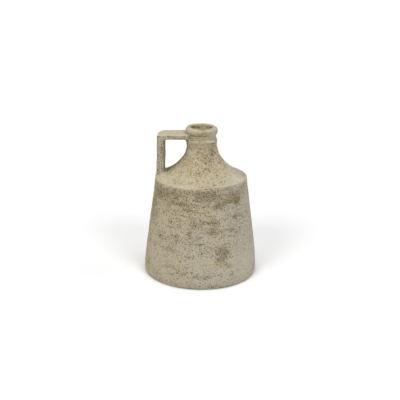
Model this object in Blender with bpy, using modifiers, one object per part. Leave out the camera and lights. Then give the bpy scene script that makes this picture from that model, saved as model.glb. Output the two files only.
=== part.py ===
"""Squat stoneware jug vase: turned body, funnel shoulder, collared neck and one squared strap handle.

Metres, +Z up. The pot stands on z = 0 with its axis on the Z axis, and the handle points along -X.
Each piece is luted to the next in a turned seat, and SLIP_GAP is the film of slip between them.
"""

import math

import bmesh
import bpy
from mathutils import Matrix

SLIP_GAP = 0.0003
FACETS = 64

# Floor slab
FOOT_RADIUS = 0.1176
FOOT_HEIGHT = 0.0124
FOOT_TUCK = 0.005
FOOT_RING_WIDTH = 0.016
FOOT_RECESS_DEPTH = 0.0025
FOOT_RECESS_DRAFT = 0.0015
FLOOR_UPSTAND = 0.0034
FLOOR_UPSTAND_EASE = 0.001

# Body wall
RIDGE_RADIUS = 0.0934
RIDGE_HEIGHT = 0.2048
RIDGE_ROUND = 0.0028
RIDGE_BAND = 0.0044
WALL_THICKNESS = 0.0088
WALL_SOFTNESS = 0.018

# Shoulder and neck
SHOULDER_SLOPE = math.radians(18.8)
SHOULDER_PULL = 0.0363
SHOULDER_RISE = 0.0666
SHOULDER_THICKNESS = 0.0095
SHOULDER_TENON_DEPTH = 0.006
SHOULDER_TENON_WIDTH = 0.005
NECK_PULL = 0.0248
THROAT_RADIUS = 0.0310
COLLAR_LEDGE_RISE = 0.0046
COLLAR_LEDGE_WIDTH = 0.0050
NECK_SPIGOT_EASE = 0.0008

# Collar ring round the neck
COLLAR_HEIGHT = 0.0082
COLLAR_SWELL = 0.0009
COLLAR_CROWN_DEPTH = 0.0020
COLLAR_CROWN_HEIGHT = 0.0043

# Rolled lip
LIP_HEIGHT = 0.0234
LIP_CROWN_HEIGHT = 0.0059
LIP_BELLY_HEIGHT = 0.0080
LIP_OVERHANG = 0.0011
LIP_TUCK = math.radians(45)
LIP_GROOVE_DEPTH = 0.0016
LIP_GROOVE_RISE = 0.0030
LIP_FOOT_FLARE = 0.0005
LIP_SOCKET_DEPTH = 0.0122

# Strap handle
STRAP_WIDTH = 0.040
STRAP_EDGE_ROUND = 0.0022
HANDLE_INSET = 0.0003
HANDLE_LEAN = 0.0012
HANDLE_DROP = 0.0017
BAR_THICKNESS = 0.0110
BAR_SMEAR_REACH = 0.0045
BAR_SMEAR_DROP = 0.0065
UPRIGHT_THICKNESS = 0.0141
ELBOW_REACH = 0.012
ELBOW_DROP = 0.0045
ELBOW_INNER_ROUND = 0.0035
HEEL_SPREAD = 0.0016
HEEL_HEIGHT = 0.030
TOE_SPREAD = 0.0016
TOE_HEIGHT = 0.005
HANDLE_ROOT_DEPTH = 0.003

# Heights and radii that follow from the sizes above
FLOOR_HEIGHT = FOOT_HEIGHT + FLOOR_UPSTAND
WALL_TOP = RIDGE_HEIGHT - RIDGE_BAND
THROAT_HEIGHT = RIDGE_HEIGHT + SHOULDER_RISE
COLLAR_LEDGE = THROAT_HEIGHT + COLLAR_LEDGE_RISE
COLLAR_BASE = COLLAR_LEDGE + SLIP_GAP
COLLAR_TOP = COLLAR_BASE + COLLAR_HEIGHT
LIP_BASE = COLLAR_TOP + SLIP_GAP
LIP_TOP = LIP_BASE + LIP_HEIGHT
LIP_EQUATOR = LIP_TOP - LIP_CROWN_HEIGHT
LIP_UNDERSIDE = LIP_EQUATOR - LIP_BELLY_HEIGHT * math.sin(LIP_TUCK)
LIP_SOCKET_TOP = LIP_BASE + LIP_SOCKET_DEPTH
NECK_SPIGOT_TOP = LIP_SOCKET_TOP - SLIP_GAP
NECK_SPIGOT_RADIUS = THROAT_RADIUS - COLLAR_LEDGE_WIDTH
NECK_SOCKET_RADIUS = NECK_SPIGOT_RADIUS + SLIP_GAP
NECK_BORE_RADIUS = THROAT_RADIUS - SHOULDER_THICKNESS
COLLAR_RADIUS = THROAT_RADIUS + COLLAR_SWELL
LIP_GROOVE_RADIUS = THROAT_RADIUS - LIP_GROOVE_DEPTH
BAR_TOP = LIP_UNDERSIDE - HANDLE_DROP
BAR_UNDERSIDE = BAR_TOP - BAR_THICKNESS

# Number of straight pieces in each curved stretch of an outline
WALL_STEPS = 7
SHOULDER_STEPS = 12
ROUND_STEPS = 4
GROOVE_STEPS = 3
CROWN_STEPS = 10
ELBOW_STEPS = 6

# Handle length that makes a cubic curve follow a quarter round
ROUND_PULL = 0.55

# Fired clay colours, linear red, green and blue
FLOOR_CLAY = (0.36, 0.30, 0.20)
WALL_CLAY = (0.33, 0.28, 0.19)
SHOULDER_CLAY = (0.46, 0.39, 0.27)
COLLAR_CLAY = (0.40, 0.34, 0.23)
LIP_CLAY = (0.44, 0.38, 0.26)
HANDLE_CLAY = (0.42, 0.36, 0.26)
CLAY_ROUGHNESS = 0.85


def clear_scene():
    """Remove every object, so the script can be run again in the same file."""
    for scene_object in list(bpy.data.objects):
        bpy.data.objects.remove(scene_object, do_unlink=True)


def new_collection(name):
    """Make a collection in the scene."""
    collection = bpy.data.collections.new(name)
    bpy.context.scene.collection.children.link(collection)
    return collection


def clay(name, colour):
    """Make a matt fired clay of one colour."""
    material = bpy.data.materials.new(name)
    material.use_nodes = True
    shader = material.node_tree.nodes["Principled BSDF"]
    shader.inputs["Base Color"].default_value = (*colour, 1.0)
    shader.inputs["Roughness"].default_value = CLAY_ROUGHNESS
    shader.inputs["Metallic"].default_value = 0.0
    return material


def arc(centre, radii, start, end, steps):
    """Points along part of an ellipse, from the start angle to the end angle in degrees."""
    points = []
    for step in range(steps + 1):
        angle = math.radians(start + (end - start) * step / steps)
        points.append((centre[0] + radii[0] * math.cos(angle), centre[1] + radii[1] * math.sin(angle)))
    return points


def pulled_curve(start, start_handle, end_handle, end, steps):
    """Points along a cubic curve between two ends, each with its own handle."""
    points = []
    for step in range(steps + 1):
        t = step / steps
        weights = ((1 - t) ** 3, 3 * t * (1 - t) ** 2, 3 * t * t * (1 - t), t ** 3)
        places = (start, start_handle, end_handle, end)
        points.append(tuple(sum(w * p[axis] for w, p in zip(weights, places)) for axis in (0, 1)))
    return points


def fillet(before, corner, after, radius, steps):
    """Points of an arc that rounds the corner between two straight runs."""
    to_before = math.atan2(before[1] - corner[1], before[0] - corner[0])
    to_after = math.atan2(after[1] - corner[1], after[0] - corner[0])
    turn = (to_after - to_before + math.pi) % math.tau - math.pi
    reach = radius / math.sin(abs(turn) / 2)
    middle = to_before + turn / 2
    centre = (corner[0] + reach * math.cos(middle), corner[1] + reach * math.sin(middle))
    sweep = math.copysign(math.pi - abs(turn), turn)
    first = middle + math.pi + sweep / 2
    return [
        (centre[0] + radius * math.cos(first - sweep * step / steps),
         centre[1] + radius * math.sin(first - sweep * step / steps))
        for step in range(steps + 1)
    ]


def grown(outline, distance):
    """Move an outline that runs top to bottom away from the axis, each point along its own normal."""
    normals = []
    for (r0, z0), (r1, z1) in zip(outline, outline[1:]):
        length = math.hypot(r1 - r0, z1 - z0)
        normals.append(((z0 - z1) / length, (r1 - r0) / length))
    moved = []
    for index, (radius, height) in enumerate(outline):
        n0 = normals[max(index - 1, 0)]
        n1 = normals[min(index, len(normals) - 1)]
        share = distance / (1 + n0[0] * n1[0] + n0[1] * n1[1])
        moved.append((radius + share * (n0[0] + n1[0]), height + share * (n0[1] + n1[1])))
    return moved


def baked_mesh(source, name):
    """Read an object with its modifiers as a new mesh, and remove the object."""
    evaluated = source.evaluated_get(bpy.context.evaluated_depsgraph_get())
    mesh = bpy.data.meshes.new_from_object(evaluated)
    mesh.name = name
    bpy.data.objects.remove(source, do_unlink=True)
    return mesh


def placed(name, mesh, collection):
    """Put a mesh in a collection as an object, smooth but for its sharp edges."""
    mesh.shade_smooth()
    mesh.set_sharp_from_angle(angle=math.radians(35))
    part = bpy.data.objects.new(name, mesh)
    collection.objects.link(part)
    return part


def turned(name, outline, collection):
    """Turn an outline of radii and heights round the Z axis. A closed outline gives a ring."""
    on_axis = outline[0][0] == 0.0 and outline[-1][0] == 0.0
    edges = [(index, index + 1) for index in range(len(outline) - 1)]
    if not on_axis:
        edges.append((len(outline) - 1, 0))
    template = bpy.data.meshes.new(name + "_template")
    template.from_pydata([(radius, 0.0, height) for radius, height in outline], edges, [])
    profile = bpy.data.objects.new(name + "_profile", template)
    collection.objects.link(profile)
    screw = profile.modifiers.new("Turning", "SCREW")
    screw.axis = "Z"
    screw.angle = math.tau
    screw.steps = FACETS
    screw.render_steps = FACETS
    screw.use_merge_vertices = True
    screw.merge_threshold = 0.00001
    return placed(name, baked_mesh(profile, name), collection)


def wall_radius(height):
    """Outer radius of the body: upright at the foot, then a straight taper to the ridge."""
    run = math.hypot(RIDGE_HEIGHT - FOOT_HEIGHT, WALL_SOFTNESS) - WALL_SOFTNESS
    taper = (FOOT_RADIUS - RIDGE_RADIUS) / run
    return FOOT_RADIUS - taper * (math.hypot(height - FOOT_HEIGHT, WALL_SOFTNESS) - WALL_SOFTNESS)


def wall_bore(height):
    """Inner radius of the body at a height."""
    return wall_radius(height) - WALL_THICKNESS


def foot_outline():
    """Rounded edge of the floor slab, from the wall's seat down to the foot ring."""
    centre = (FOOT_RADIUS - FOOT_TUCK, FOOT_HEIGHT)
    return arc(centre, (FOOT_TUCK, FOOT_HEIGHT), 0, -90, ROUND_STEPS)


def make_floor_slab(parts):
    """Floor disc: a rebated edge locates the wall, and a turned foot ring stands on the ground."""
    upstand = wall_bore(FLOOR_HEIGHT) - SLIP_GAP
    ring_inner = FOOT_RADIUS - FOOT_TUCK - FOOT_RING_WIDTH
    outline = [(0.0, FLOOR_HEIGHT), (upstand - FLOOR_UPSTAND_EASE, FLOOR_HEIGHT)]
    outline += [(upstand, FLOOR_HEIGHT - FLOOR_UPSTAND_EASE), (upstand, FOOT_HEIGHT)]
    outline += foot_outline()
    outline += [(ring_inner, 0.0), (ring_inner - FOOT_RECESS_DRAFT, FOOT_RECESS_DEPTH)]
    outline += [(0.0, FOOT_RECESS_DEPTH)]
    return turned("floor_slab", outline, parts)


def make_body_wall(parts):
    """Tapered wall: stands on the floor slab's land and carries the shoulder on its flat top."""
    base = FOOT_HEIGHT + SLIP_GAP
    turns = [math.pi / 2 * step / WALL_STEPS for step in range(WALL_STEPS + 1)]
    heights = [WALL_TOP - (WALL_TOP - base) * math.sin(turn) for turn in turns]
    outer = [(wall_radius(height), height) for height in heights]
    inner = [(wall_bore(height), height) for height in reversed(heights)]
    return turned("body_wall", outer + inner, parts)


def funnel_outline():
    """Outside of the throat and the shoulder's hollow slope, down to the ridge."""
    throat = (THROAT_RADIUS, THROAT_HEIGHT)
    throat_handle = (THROAT_RADIUS, THROAT_HEIGHT - NECK_PULL)
    ridge = (RIDGE_RADIUS, RIDGE_HEIGHT)
    ridge_handle = (
        RIDGE_RADIUS - SHOULDER_PULL * math.cos(SHOULDER_SLOPE),
        RIDGE_HEIGHT + SHOULDER_PULL * math.sin(SHOULDER_SLOPE),
    )
    return pulled_curve(throat, throat_handle, ridge_handle, ridge, SHOULDER_STEPS)


def shoulder_height(radius):
    """Height of the shoulder's outside at a radius."""
    funnel = funnel_outline()
    for (r0, z0), (r1, z1) in zip(funnel, funnel[1:]):
        if r0 <= radius <= r1:
            return z0 + (z1 - z0) * (radius - r0) / (r1 - r0)
    return RIDGE_HEIGHT


def shoulder_outline():
    """Outside of the shoulder piece, from the collar's ledge to the seam under the ridge."""
    seam = (wall_radius(WALL_TOP + SLIP_GAP), WALL_TOP + SLIP_GAP)
    funnel = funnel_outline()
    edge = fillet(funnel[-2], funnel[-1], seam, RIDGE_ROUND, ROUND_STEPS)
    return [(THROAT_RADIUS, COLLAR_LEDGE)] + funnel[:-1] + edge + [seam]


def make_shoulder_and_neck(parts):
    """Funnel and neck: a tenon drops inside the wall, and a spigot carries the collar and the lip."""
    tenon_radius = wall_bore(WALL_TOP) - SLIP_GAP
    tenon_bore = tenon_radius - SHOULDER_TENON_WIDTH
    tenon_foot = WALL_TOP - SHOULDER_TENON_DEPTH
    lining = [point for point in grown(funnel_outline(), -SHOULDER_THICKNESS) if point[0] < tenon_bore]
    outline = [(NECK_SPIGOT_RADIUS - NECK_SPIGOT_EASE, NECK_SPIGOT_TOP)]
    outline += [(NECK_SPIGOT_RADIUS, NECK_SPIGOT_TOP - NECK_SPIGOT_EASE)]
    outline += [(NECK_SPIGOT_RADIUS, COLLAR_LEDGE)]
    outline += shoulder_outline()
    outline += [(tenon_radius, WALL_TOP + SLIP_GAP), (tenon_radius, tenon_foot), (tenon_bore, tenon_foot)]
    outline += list(reversed(lining))
    outline += [(NECK_BORE_RADIUS, NECK_SPIGOT_TOP)]
    return turned("shoulder_and_neck", outline, parts)


def collar_outline():
    """Outside of the collar ring: a rounded crown over a low swell that dies into the throat."""
    crown_centre = (COLLAR_RADIUS - COLLAR_CROWN_DEPTH, COLLAR_TOP - COLLAR_CROWN_HEIGHT)
    crown = arc(crown_centre, (COLLAR_CROWN_DEPTH, COLLAR_CROWN_HEIGHT), 90, 0, ROUND_STEPS)
    foot = (THROAT_RADIUS, COLLAR_BASE)
    third = (crown[-1][1] - COLLAR_BASE) / 3
    swell = pulled_curve(
        crown[-1],
        (COLLAR_RADIUS, crown[-1][1] - third),
        (THROAT_RADIUS, COLLAR_BASE + third),
        foot,
        GROOVE_STEPS,
    )
    return crown + swell[1:]


def make_neck_collar(parts):
    """Collar ring: drops over the neck's spigot onto its ledge."""
    outline = [(NECK_SOCKET_RADIUS, COLLAR_TOP)] + collar_outline() + [(NECK_SOCKET_RADIUS, COLLAR_BASE)]
    return turned("neck_collar", outline, parts)


def lip_outline():
    """Outside of the lip: the roll from its crown outwards, then the hollow groove down to its foot."""
    half_width = (THROAT_RADIUS + LIP_OVERHANG - NECK_BORE_RADIUS) / 2
    centre = (NECK_BORE_RADIUS + half_width, LIP_EQUATOR)
    roll = arc(centre, (half_width, LIP_CROWN_HEIGHT), 180, 0, CROWN_STEPS)
    roll += arc(centre, (half_width, LIP_BELLY_HEIGHT), 0, -math.degrees(LIP_TUCK), GROOVE_STEPS)[1:]
    groove_height = LIP_BASE + LIP_GROOVE_RISE
    overhang = roll[-1][0] - LIP_GROOVE_RADIUS
    groove = []
    for step in range(1, GROOVE_STEPS + 1):
        rise = 1 - step / GROOVE_STEPS
        height = groove_height + (roll[-1][1] - groove_height) * rise
        groove.append((LIP_GROOVE_RADIUS + overhang * rise ** 2, height))
    return roll + groove + [(LIP_GROOVE_RADIUS + LIP_FOOT_FLARE, LIP_BASE)]


def make_lip(parts):
    """Rolled lip: a socket under it drops over the end of the neck's spigot."""
    outline = lip_outline()
    outline += [(NECK_SOCKET_RADIUS, LIP_BASE), (NECK_SOCKET_RADIUS, LIP_SOCKET_TOP)]
    outline += [(NECK_BORE_RADIUS, LIP_SOCKET_TOP)]
    return turned("lip", outline, parts)


def make_saddles(cutters):
    """Solids of the lip, collar and shoulder, grown by the slip gap, that shape the handle's ends."""
    outlines = {
        "lip_saddle": [point for point in lip_outline() if point[0] > NECK_SOCKET_RADIUS],
        "collar_saddle": [(NECK_SOCKET_RADIUS, COLLAR_TOP)] + collar_outline(),
        "shoulder_saddle": [(NECK_SPIGOT_RADIUS, COLLAR_LEDGE)] + shoulder_outline(),
    }
    saddles = []
    for name, outline in outlines.items():
        inward = (NECK_SPIGOT_RADIUS, outline[-1][1])
        skin = grown(outline + [inward], SLIP_GAP)
        saddles.append(turned(name, [(0.0, skin[0][1])] + skin + [(0.0, skin[-1][1])], cutters))
    return saddles


def handle_outline():
    """Side view of the strap as distances from the axis and heights, from the neck round to the foot."""
    heel_reach = math.sqrt((RIDGE_RADIUS - HANDLE_INSET) ** 2 - (STRAP_WIDTH / 2 - STRAP_EDGE_ROUND) ** 2)
    foot_reach = heel_reach - HEEL_SPREAD
    head_reach = foot_reach - HANDLE_LEAN
    root = RIDGE_HEIGHT - HANDLE_ROOT_DEPTH
    inner_foot = foot_reach - UPRIGHT_THICKNESS
    inner_head = head_reach - UPRIGHT_THICKNESS
    seat = shoulder_height(inner_foot)
    elbow = pulled_curve(
        (head_reach - ELBOW_REACH, BAR_TOP),
        (head_reach - ELBOW_REACH * (1 - ROUND_PULL), BAR_TOP),
        (head_reach, BAR_TOP - ELBOW_DROP * (1 - ROUND_PULL)),
        (head_reach, BAR_TOP - ELBOW_DROP),
        ELBOW_STEPS,
    )
    heel = arc((heel_reach, root + HEEL_HEIGHT), (HEEL_SPREAD, HEEL_HEIGHT), 180, 270, ROUND_STEPS)
    toe_centre = (inner_foot - TOE_SPREAD, seat + TOE_HEIGHT)
    toe = arc(toe_centre, (TOE_SPREAD, TOE_HEIGHT), -90, 0, ROUND_STEPS)
    inner_corner = (inner_head, BAR_UNDERSIDE)
    bar_end = (0.0, BAR_UNDERSIDE)
    inner_elbow = fillet((inner_foot, seat), inner_corner, bar_end, ELBOW_INNER_ROUND, ROUND_STEPS)
    outline = [(0.0, BAR_TOP)] + elbow + heel + [(toe[0][0], root)]
    return outline + toe + inner_elbow + [bar_end]


def flat_strap(name, outline, width, collection):
    """Fill a side outline as a flat curve, thicken it to the strap's width and stand it up along -X."""
    curve = bpy.data.curves.new(name, "CURVE")
    curve.dimensions = "2D"
    curve.fill_mode = "BOTH"
    curve.extrude = width / 2
    spline = curve.splines.new("POLY")
    spline.points.add(len(outline) - 1)
    for point, (reach, height) in zip(spline.points, outline):
        point.co = (-reach, height, 0.0, 1.0)
    spline.use_cyclic_u = True
    strap = bpy.data.objects.new(name, curve)
    collection.objects.link(strap)
    mesh = baked_mesh(strap, name)
    solid = bmesh.new()
    solid.from_mesh(mesh)
    bmesh.ops.remove_doubles(solid, verts=solid.verts, dist=0.00001)
    bmesh.ops.dissolve_limit(solid, angle_limit=math.radians(1), verts=solid.verts, edges=solid.edges)
    bmesh.ops.rotate(solid, verts=solid.verts, matrix=Matrix.Rotation(math.pi / 2, 3, "X"))
    bmesh.ops.recalc_face_normals(solid, faces=solid.faces)
    solid.to_mesh(mesh)
    solid.free()
    return placed(name, mesh, collection)


def make_smear(cutters):
    """Clay smeared under the strap's root: a hollow ring round the neck, kept only across the strap."""
    arc_centre = (COLLAR_RADIUS + BAR_SMEAR_REACH, BAR_UNDERSIDE - BAR_SMEAR_DROP)
    hollow = arc(arc_centre, (BAR_SMEAR_REACH, BAR_SMEAR_DROP), 90, 180, ROUND_STEPS)
    embed = BAR_UNDERSIDE + BAR_THICKNESS / 2
    outline = [(NECK_SPIGOT_RADIUS, embed), (hollow[0][0], embed)] + hollow
    outline += [(NECK_SPIGOT_RADIUS, BAR_UNDERSIDE - BAR_SMEAR_DROP)]
    return turned("neck_smear", outline, cutters)


def add_boolean(part, operation, tool):
    """Join, keep or cut a part with another object."""
    boolean = part.modifiers.new(operation.title() + " " + tool.name, "BOOLEAN")
    boolean.operation = operation
    boolean.solver = "EXACT"
    boolean.object = tool


def make_handle(parts, cutters):
    """Squared strap handle: one bent slab with eased edges, its two ends cut to saddle on the pot."""
    handle = flat_strap("handle_strap", handle_outline(), STRAP_WIDTH, parts)
    easing = handle.modifiers.new("Eased edges", "BEVEL")
    easing.width = STRAP_EDGE_ROUND
    easing.segments = 2
    easing.limit_method = "ANGLE"
    easing.angle_limit = math.radians(40)
    smear_reach = COLLAR_RADIUS + BAR_SMEAR_REACH + SLIP_GAP
    smear_foot = BAR_UNDERSIDE - 2 * BAR_SMEAR_DROP
    smear_side = [(0.0, BAR_TOP), (smear_reach, BAR_TOP), (smear_reach, smear_foot), (0.0, smear_foot)]
    smear_width = STRAP_WIDTH - 2 * STRAP_EDGE_ROUND
    smear = make_smear(cutters)
    add_boolean(smear, "INTERSECT", flat_strap("smear_limit", smear_side, smear_width, cutters))
    add_boolean(handle, "UNION", smear)
    for saddle in make_saddles(cutters):
        add_boolean(handle, "DIFFERENCE", saddle)
    return placed("handle", baked_mesh(handle, "handle"), parts)


def main():
    """Build the six pieces, colour them and gather them under one empty at the pot's foot."""
    clear_scene()
    parts = new_collection("ceramic_vase")
    cutters = new_collection("cutters")
    pieces = {
        make_floor_slab(parts): FLOOR_CLAY,
        make_body_wall(parts): WALL_CLAY,
        make_shoulder_and_neck(parts): SHOULDER_CLAY,
        make_neck_collar(parts): COLLAR_CLAY,
        make_lip(parts): LIP_CLAY,
        make_handle(parts, cutters): HANDLE_CLAY,
    }
    stand = bpy.data.objects.new("vase", None)
    parts.objects.link(stand)
    for piece, colour in pieces.items():
        piece.data.materials.append(clay(piece.name + "_clay", colour))
        piece.parent = stand
    for cutter in cutters.objects:
        cutter.hide_render = True
        cutter.display_type = "WIRE"


main()
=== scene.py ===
# %% [markdown]
# # A stoneware jug vase with one squared handle
# The vase stands about 31 cm tall. A low body tapers to a crisp ridge, a hollow shoulder sweeps up into
# a short neck with a collar and a rolled lip, and a flat strap of clay is bent square to make the handle.
# The CAD model already has the six pieces at their true sizes. This lesson gives each one a skin that
# looks thrown, smeared, stained and fired, and then lights it as a studio would.
# The packed model comes in first, because every new piece has to lie on one of its nodes.

# %% Load the packed model
import itertools
import math
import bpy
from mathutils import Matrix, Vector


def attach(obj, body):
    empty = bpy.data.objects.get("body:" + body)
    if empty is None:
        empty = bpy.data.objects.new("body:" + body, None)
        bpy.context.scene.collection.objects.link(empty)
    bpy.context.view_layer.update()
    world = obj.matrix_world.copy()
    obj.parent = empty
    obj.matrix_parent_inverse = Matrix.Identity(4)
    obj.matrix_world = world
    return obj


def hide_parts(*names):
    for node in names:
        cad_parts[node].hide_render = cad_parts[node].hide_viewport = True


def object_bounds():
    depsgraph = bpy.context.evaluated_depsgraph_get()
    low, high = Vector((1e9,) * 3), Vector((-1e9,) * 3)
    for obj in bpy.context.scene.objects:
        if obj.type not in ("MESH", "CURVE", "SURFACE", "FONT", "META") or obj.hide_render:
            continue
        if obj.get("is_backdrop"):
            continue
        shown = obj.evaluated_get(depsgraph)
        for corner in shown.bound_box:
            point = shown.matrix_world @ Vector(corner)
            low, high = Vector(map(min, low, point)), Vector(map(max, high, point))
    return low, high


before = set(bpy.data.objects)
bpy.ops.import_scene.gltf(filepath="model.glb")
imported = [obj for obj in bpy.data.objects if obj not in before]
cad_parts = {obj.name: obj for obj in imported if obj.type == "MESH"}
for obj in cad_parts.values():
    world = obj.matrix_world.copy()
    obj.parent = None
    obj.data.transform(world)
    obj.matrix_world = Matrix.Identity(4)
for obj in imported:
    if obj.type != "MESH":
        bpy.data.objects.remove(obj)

from types import SimpleNamespace

import bpy
import numpy as np
from mathutils import Matrix, Vector
from mathutils.geometry import tessellate_polygon

MM = 0.001
cad_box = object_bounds()
print("CAD nodes:", ", ".join(sorted(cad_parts)))
print("CAD box in mm:", [[round(value / MM, 1) for value in corner] for corner in cad_box])

# %% [markdown]
# ## One outline for the whole pot
# A potter shapes the outside of a turned pot as one running line, from the foot ring up to the lip.
# It could be drawn as a Bezier curve by hand, but named sizes and a few small curve helpers keep it exact:
# the same numbers shape the CAD pieces, so the new skins fit them without any pushing or pulling.
# A point of the line is a radius and a height, both in metres.

# %% Curves that make an outline
def ellipse_arc(centre, radii, start, end, steps=24):
    """Points along part of an ellipse, from one angle to another in degrees."""
    angles = np.radians(np.linspace(start, end, steps + 1))
    return np.column_stack((centre[0] + radii[0] * np.cos(angles), centre[1] + radii[1] * np.sin(angles)))


def pulled_curve(start, start_handle, end_handle, end, steps=60):
    """Points along a cubic curve between two ends, each with its own handle."""
    t = np.linspace(0, 1, steps + 1)[:, None]
    pulls = ((1 - t) ** 3, 3 * t * (1 - t) ** 2, 3 * t * t * (1 - t), t ** 3)
    return sum(pull * np.array(place) for pull, place in zip(pulls, (start, start_handle, end_handle, end)))


def rounded_corner(before, corner, after, radius, steps=10):
    """Points of the arc that rounds a corner between two straight runs."""
    before, corner, after = (np.array(place, float) for place in (before, corner, after))
    to_before = (before - corner) / np.linalg.norm(before - corner)
    to_after = (after - corner) / np.linalg.norm(after - corner)
    half = math.acos(np.clip(to_before @ to_after, -1, 1)) / 2
    middle = (to_before + to_after) / np.linalg.norm(to_before + to_after)
    centre = corner + middle * radius / math.sin(half)
    first = corner + to_before * radius / math.tan(half) - centre
    last = corner + to_after * radius / math.tan(half) - centre
    share = np.linspace(0, 1, steps + 1)[:, None]
    spokes = first * (1 - share) + last * share
    return centre + radius * spokes / np.linalg.norm(spokes, axis=1)[:, None]


print("A quarter round of 24 steps has", len(ellipse_arc((0, 0), (1, 1), 0, 90)), "points")

# %% [markdown]
# ## The foot and the tapered wall
# The bottom edge is rounded under, because the potter trims the foot with a loop tool so that it won't chip.
# Above it the wall is upright for a finger's breadth and then leans in, straight as a ruler, to the ridge.
# A hyperbola does both at once: it is round at the bottom and runs into a straight line.

# %% Outline of the foot and the wall
FOOT_RADIUS = 117.6 * MM
FOOT_HEIGHT = 12.4 * MM
FOOT_TUCK = 5.0 * MM
RIDGE_RADIUS = 93.4 * MM
RIDGE_HEIGHT = 204.8 * MM
WALL_SOFTNESS = 18.0 * MM
WALL_THICKNESS = 8.8 * MM


def wall_radius(height):
    """Outer radius of the body: upright at the foot, then a straight taper to the ridge."""
    run = math.hypot(RIDGE_HEIGHT - FOOT_HEIGHT, WALL_SOFTNESS) - WALL_SOFTNESS
    taper = (FOOT_RADIUS - RIDGE_RADIUS) / run
    return FOOT_RADIUS - taper * (np.hypot(height - FOOT_HEIGHT, WALL_SOFTNESS) - WALL_SOFTNESS)


foot_edge = ellipse_arc((FOOT_RADIUS - FOOT_TUCK, FOOT_HEIGHT), (FOOT_TUCK, FOOT_HEIGHT), -90, 0)
wall_heights = np.linspace(FOOT_HEIGHT, RIDGE_HEIGHT, 161)[1:]
wall_line = np.column_stack((wall_radius(wall_heights), wall_heights))
print("The wall leans in by", round((FOOT_RADIUS - RIDGE_RADIUS) / MM, 1), "mm")

# %% [markdown]
# ## The shoulder and the neck
# The shoulder is a funnel: nearly flat at the ridge, then sweeping up to an upright throat.
# One cubic curve with a handle along the slope at the ridge and one straight down from the throat gives
# that sweep, and an arc eases the ridge itself, which on the real pot has been rubbed round by a sponge.

# %% Outline of the shoulder
SHOULDER_SLOPE = math.radians(18.8)
SHOULDER_PULL = 36.3 * MM
SHOULDER_THICKNESS = 9.5 * MM
RIDGE_ROUND = 1.3 * MM
NECK_PULL = 24.8 * MM
THROAT_RADIUS = 31.0 * MM
THROAT_HEIGHT = 271.4 * MM

slope_run = SHOULDER_PULL * math.cos(SHOULDER_SLOPE)
slope_rise = SHOULDER_PULL * math.sin(SHOULDER_SLOPE)
funnel_line = pulled_curve(
    (RIDGE_RADIUS, RIDGE_HEIGHT),
    (RIDGE_RADIUS - slope_run, RIDGE_HEIGHT + slope_rise),
    (THROAT_RADIUS, THROAT_HEIGHT - NECK_PULL),
    (THROAT_RADIUS, THROAT_HEIGHT),
)
ridge_line = rounded_corner(wall_line[-20], funnel_line[0], funnel_line[3], RIDGE_ROUND)
print("The funnel climbs", round((THROAT_HEIGHT - RIDGE_HEIGHT) / MM, 1), "mm")

# %% [markdown]
# ## The collar and the rolled lip
# A ring of clay circles the neck, and above a narrow groove the lip is rolled over to make a soft, thick rim.
# Each is a stretch of ellipse. The lip has a short upright face that turns well under and dies into the
# groove along a parabola, which is the line a fingertip leaves when it is pressed against the turning neck.

# %% Outline of the collar, the groove and the lip
COLLAR_BASE = 276.3 * MM
COLLAR_TOP = 284.5 * MM
COLLAR_RADIUS = 31.9 * MM
COLLAR_CROWN = (2.0 * MM, 4.3 * MM)
LIP_BASE = 284.8 * MM
LIP_TOP = 308.2 * MM
LIP_RADIUS = 32.5 * MM
LIP_CROWN_HEIGHT = 6.6 * MM
LIP_FACE = 3.6 * MM
LIP_ROLL = (2.8 * MM, 3.6 * MM)
LIP_TURNS_UNDER = 65
GROOVE_RADIUS = 29.3 * MM
GROOVE_HEIGHT = LIP_BASE + 3.0 * MM
LIP_FOOT_FLARE = 0.5 * MM
BORE_RADIUS = 21.5 * MM
LIP_SHOULDER = 5.2 * MM
LIP_EDGE = (1.8 * MM, 2.4 * MM)

crown_height = COLLAR_TOP - COLLAR_CROWN[1]
third = (crown_height - COLLAR_BASE) / 3
collar_swell = pulled_curve(
    (THROAT_RADIUS, COLLAR_BASE),
    (THROAT_RADIUS, COLLAR_BASE + third),
    (COLLAR_RADIUS, crown_height - third),
    (COLLAR_RADIUS, crown_height),
    steps=12,
)
collar_crown = ellipse_arc((COLLAR_RADIUS - COLLAR_CROWN[0], crown_height), COLLAR_CROWN, 0, 90, steps=12)
lip_widest = LIP_TOP - LIP_CROWN_HEIGHT
belly_centre = (LIP_RADIUS - LIP_ROLL[0], lip_widest - LIP_FACE)
lip_belly = ellipse_arc(belly_centre, LIP_ROLL, -LIP_TURNS_UNDER, 0, steps=12)
lip_crown = np.vstack((
    ellipse_arc((LIP_RADIUS - LIP_SHOULDER, lip_widest), (LIP_SHOULDER, LIP_CROWN_HEIGHT), 0, 90),
    ellipse_arc((BORE_RADIUS + LIP_EDGE[0], LIP_TOP - LIP_EDGE[1]), LIP_EDGE, 90, 180, steps=12),
))
rise = np.linspace(0, 1, 13)
groove_line = np.column_stack((
    GROOVE_RADIUS + (lip_belly[0][0] - GROOVE_RADIUS) * rise ** 2,
    GROOVE_HEIGHT + (lip_belly[0][1] - GROOVE_HEIGHT) * rise,
))
lip_foot = [(GROOVE_RADIUS + LIP_FOOT_FLARE, LIP_BASE)]
print("The lip stands", round((LIP_RADIUS - GROOVE_RADIUS) / MM, 1), "mm proud of its groove")

# %% [markdown]
# ## Joining the runs
# The runs are joined into one line and its length is measured, so that a place on the pot can be named by
# how far along the line it is. Equal steps along the line later give square, even mesh faces, which take
# fine dents and scratches better than long thin ones.

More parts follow.
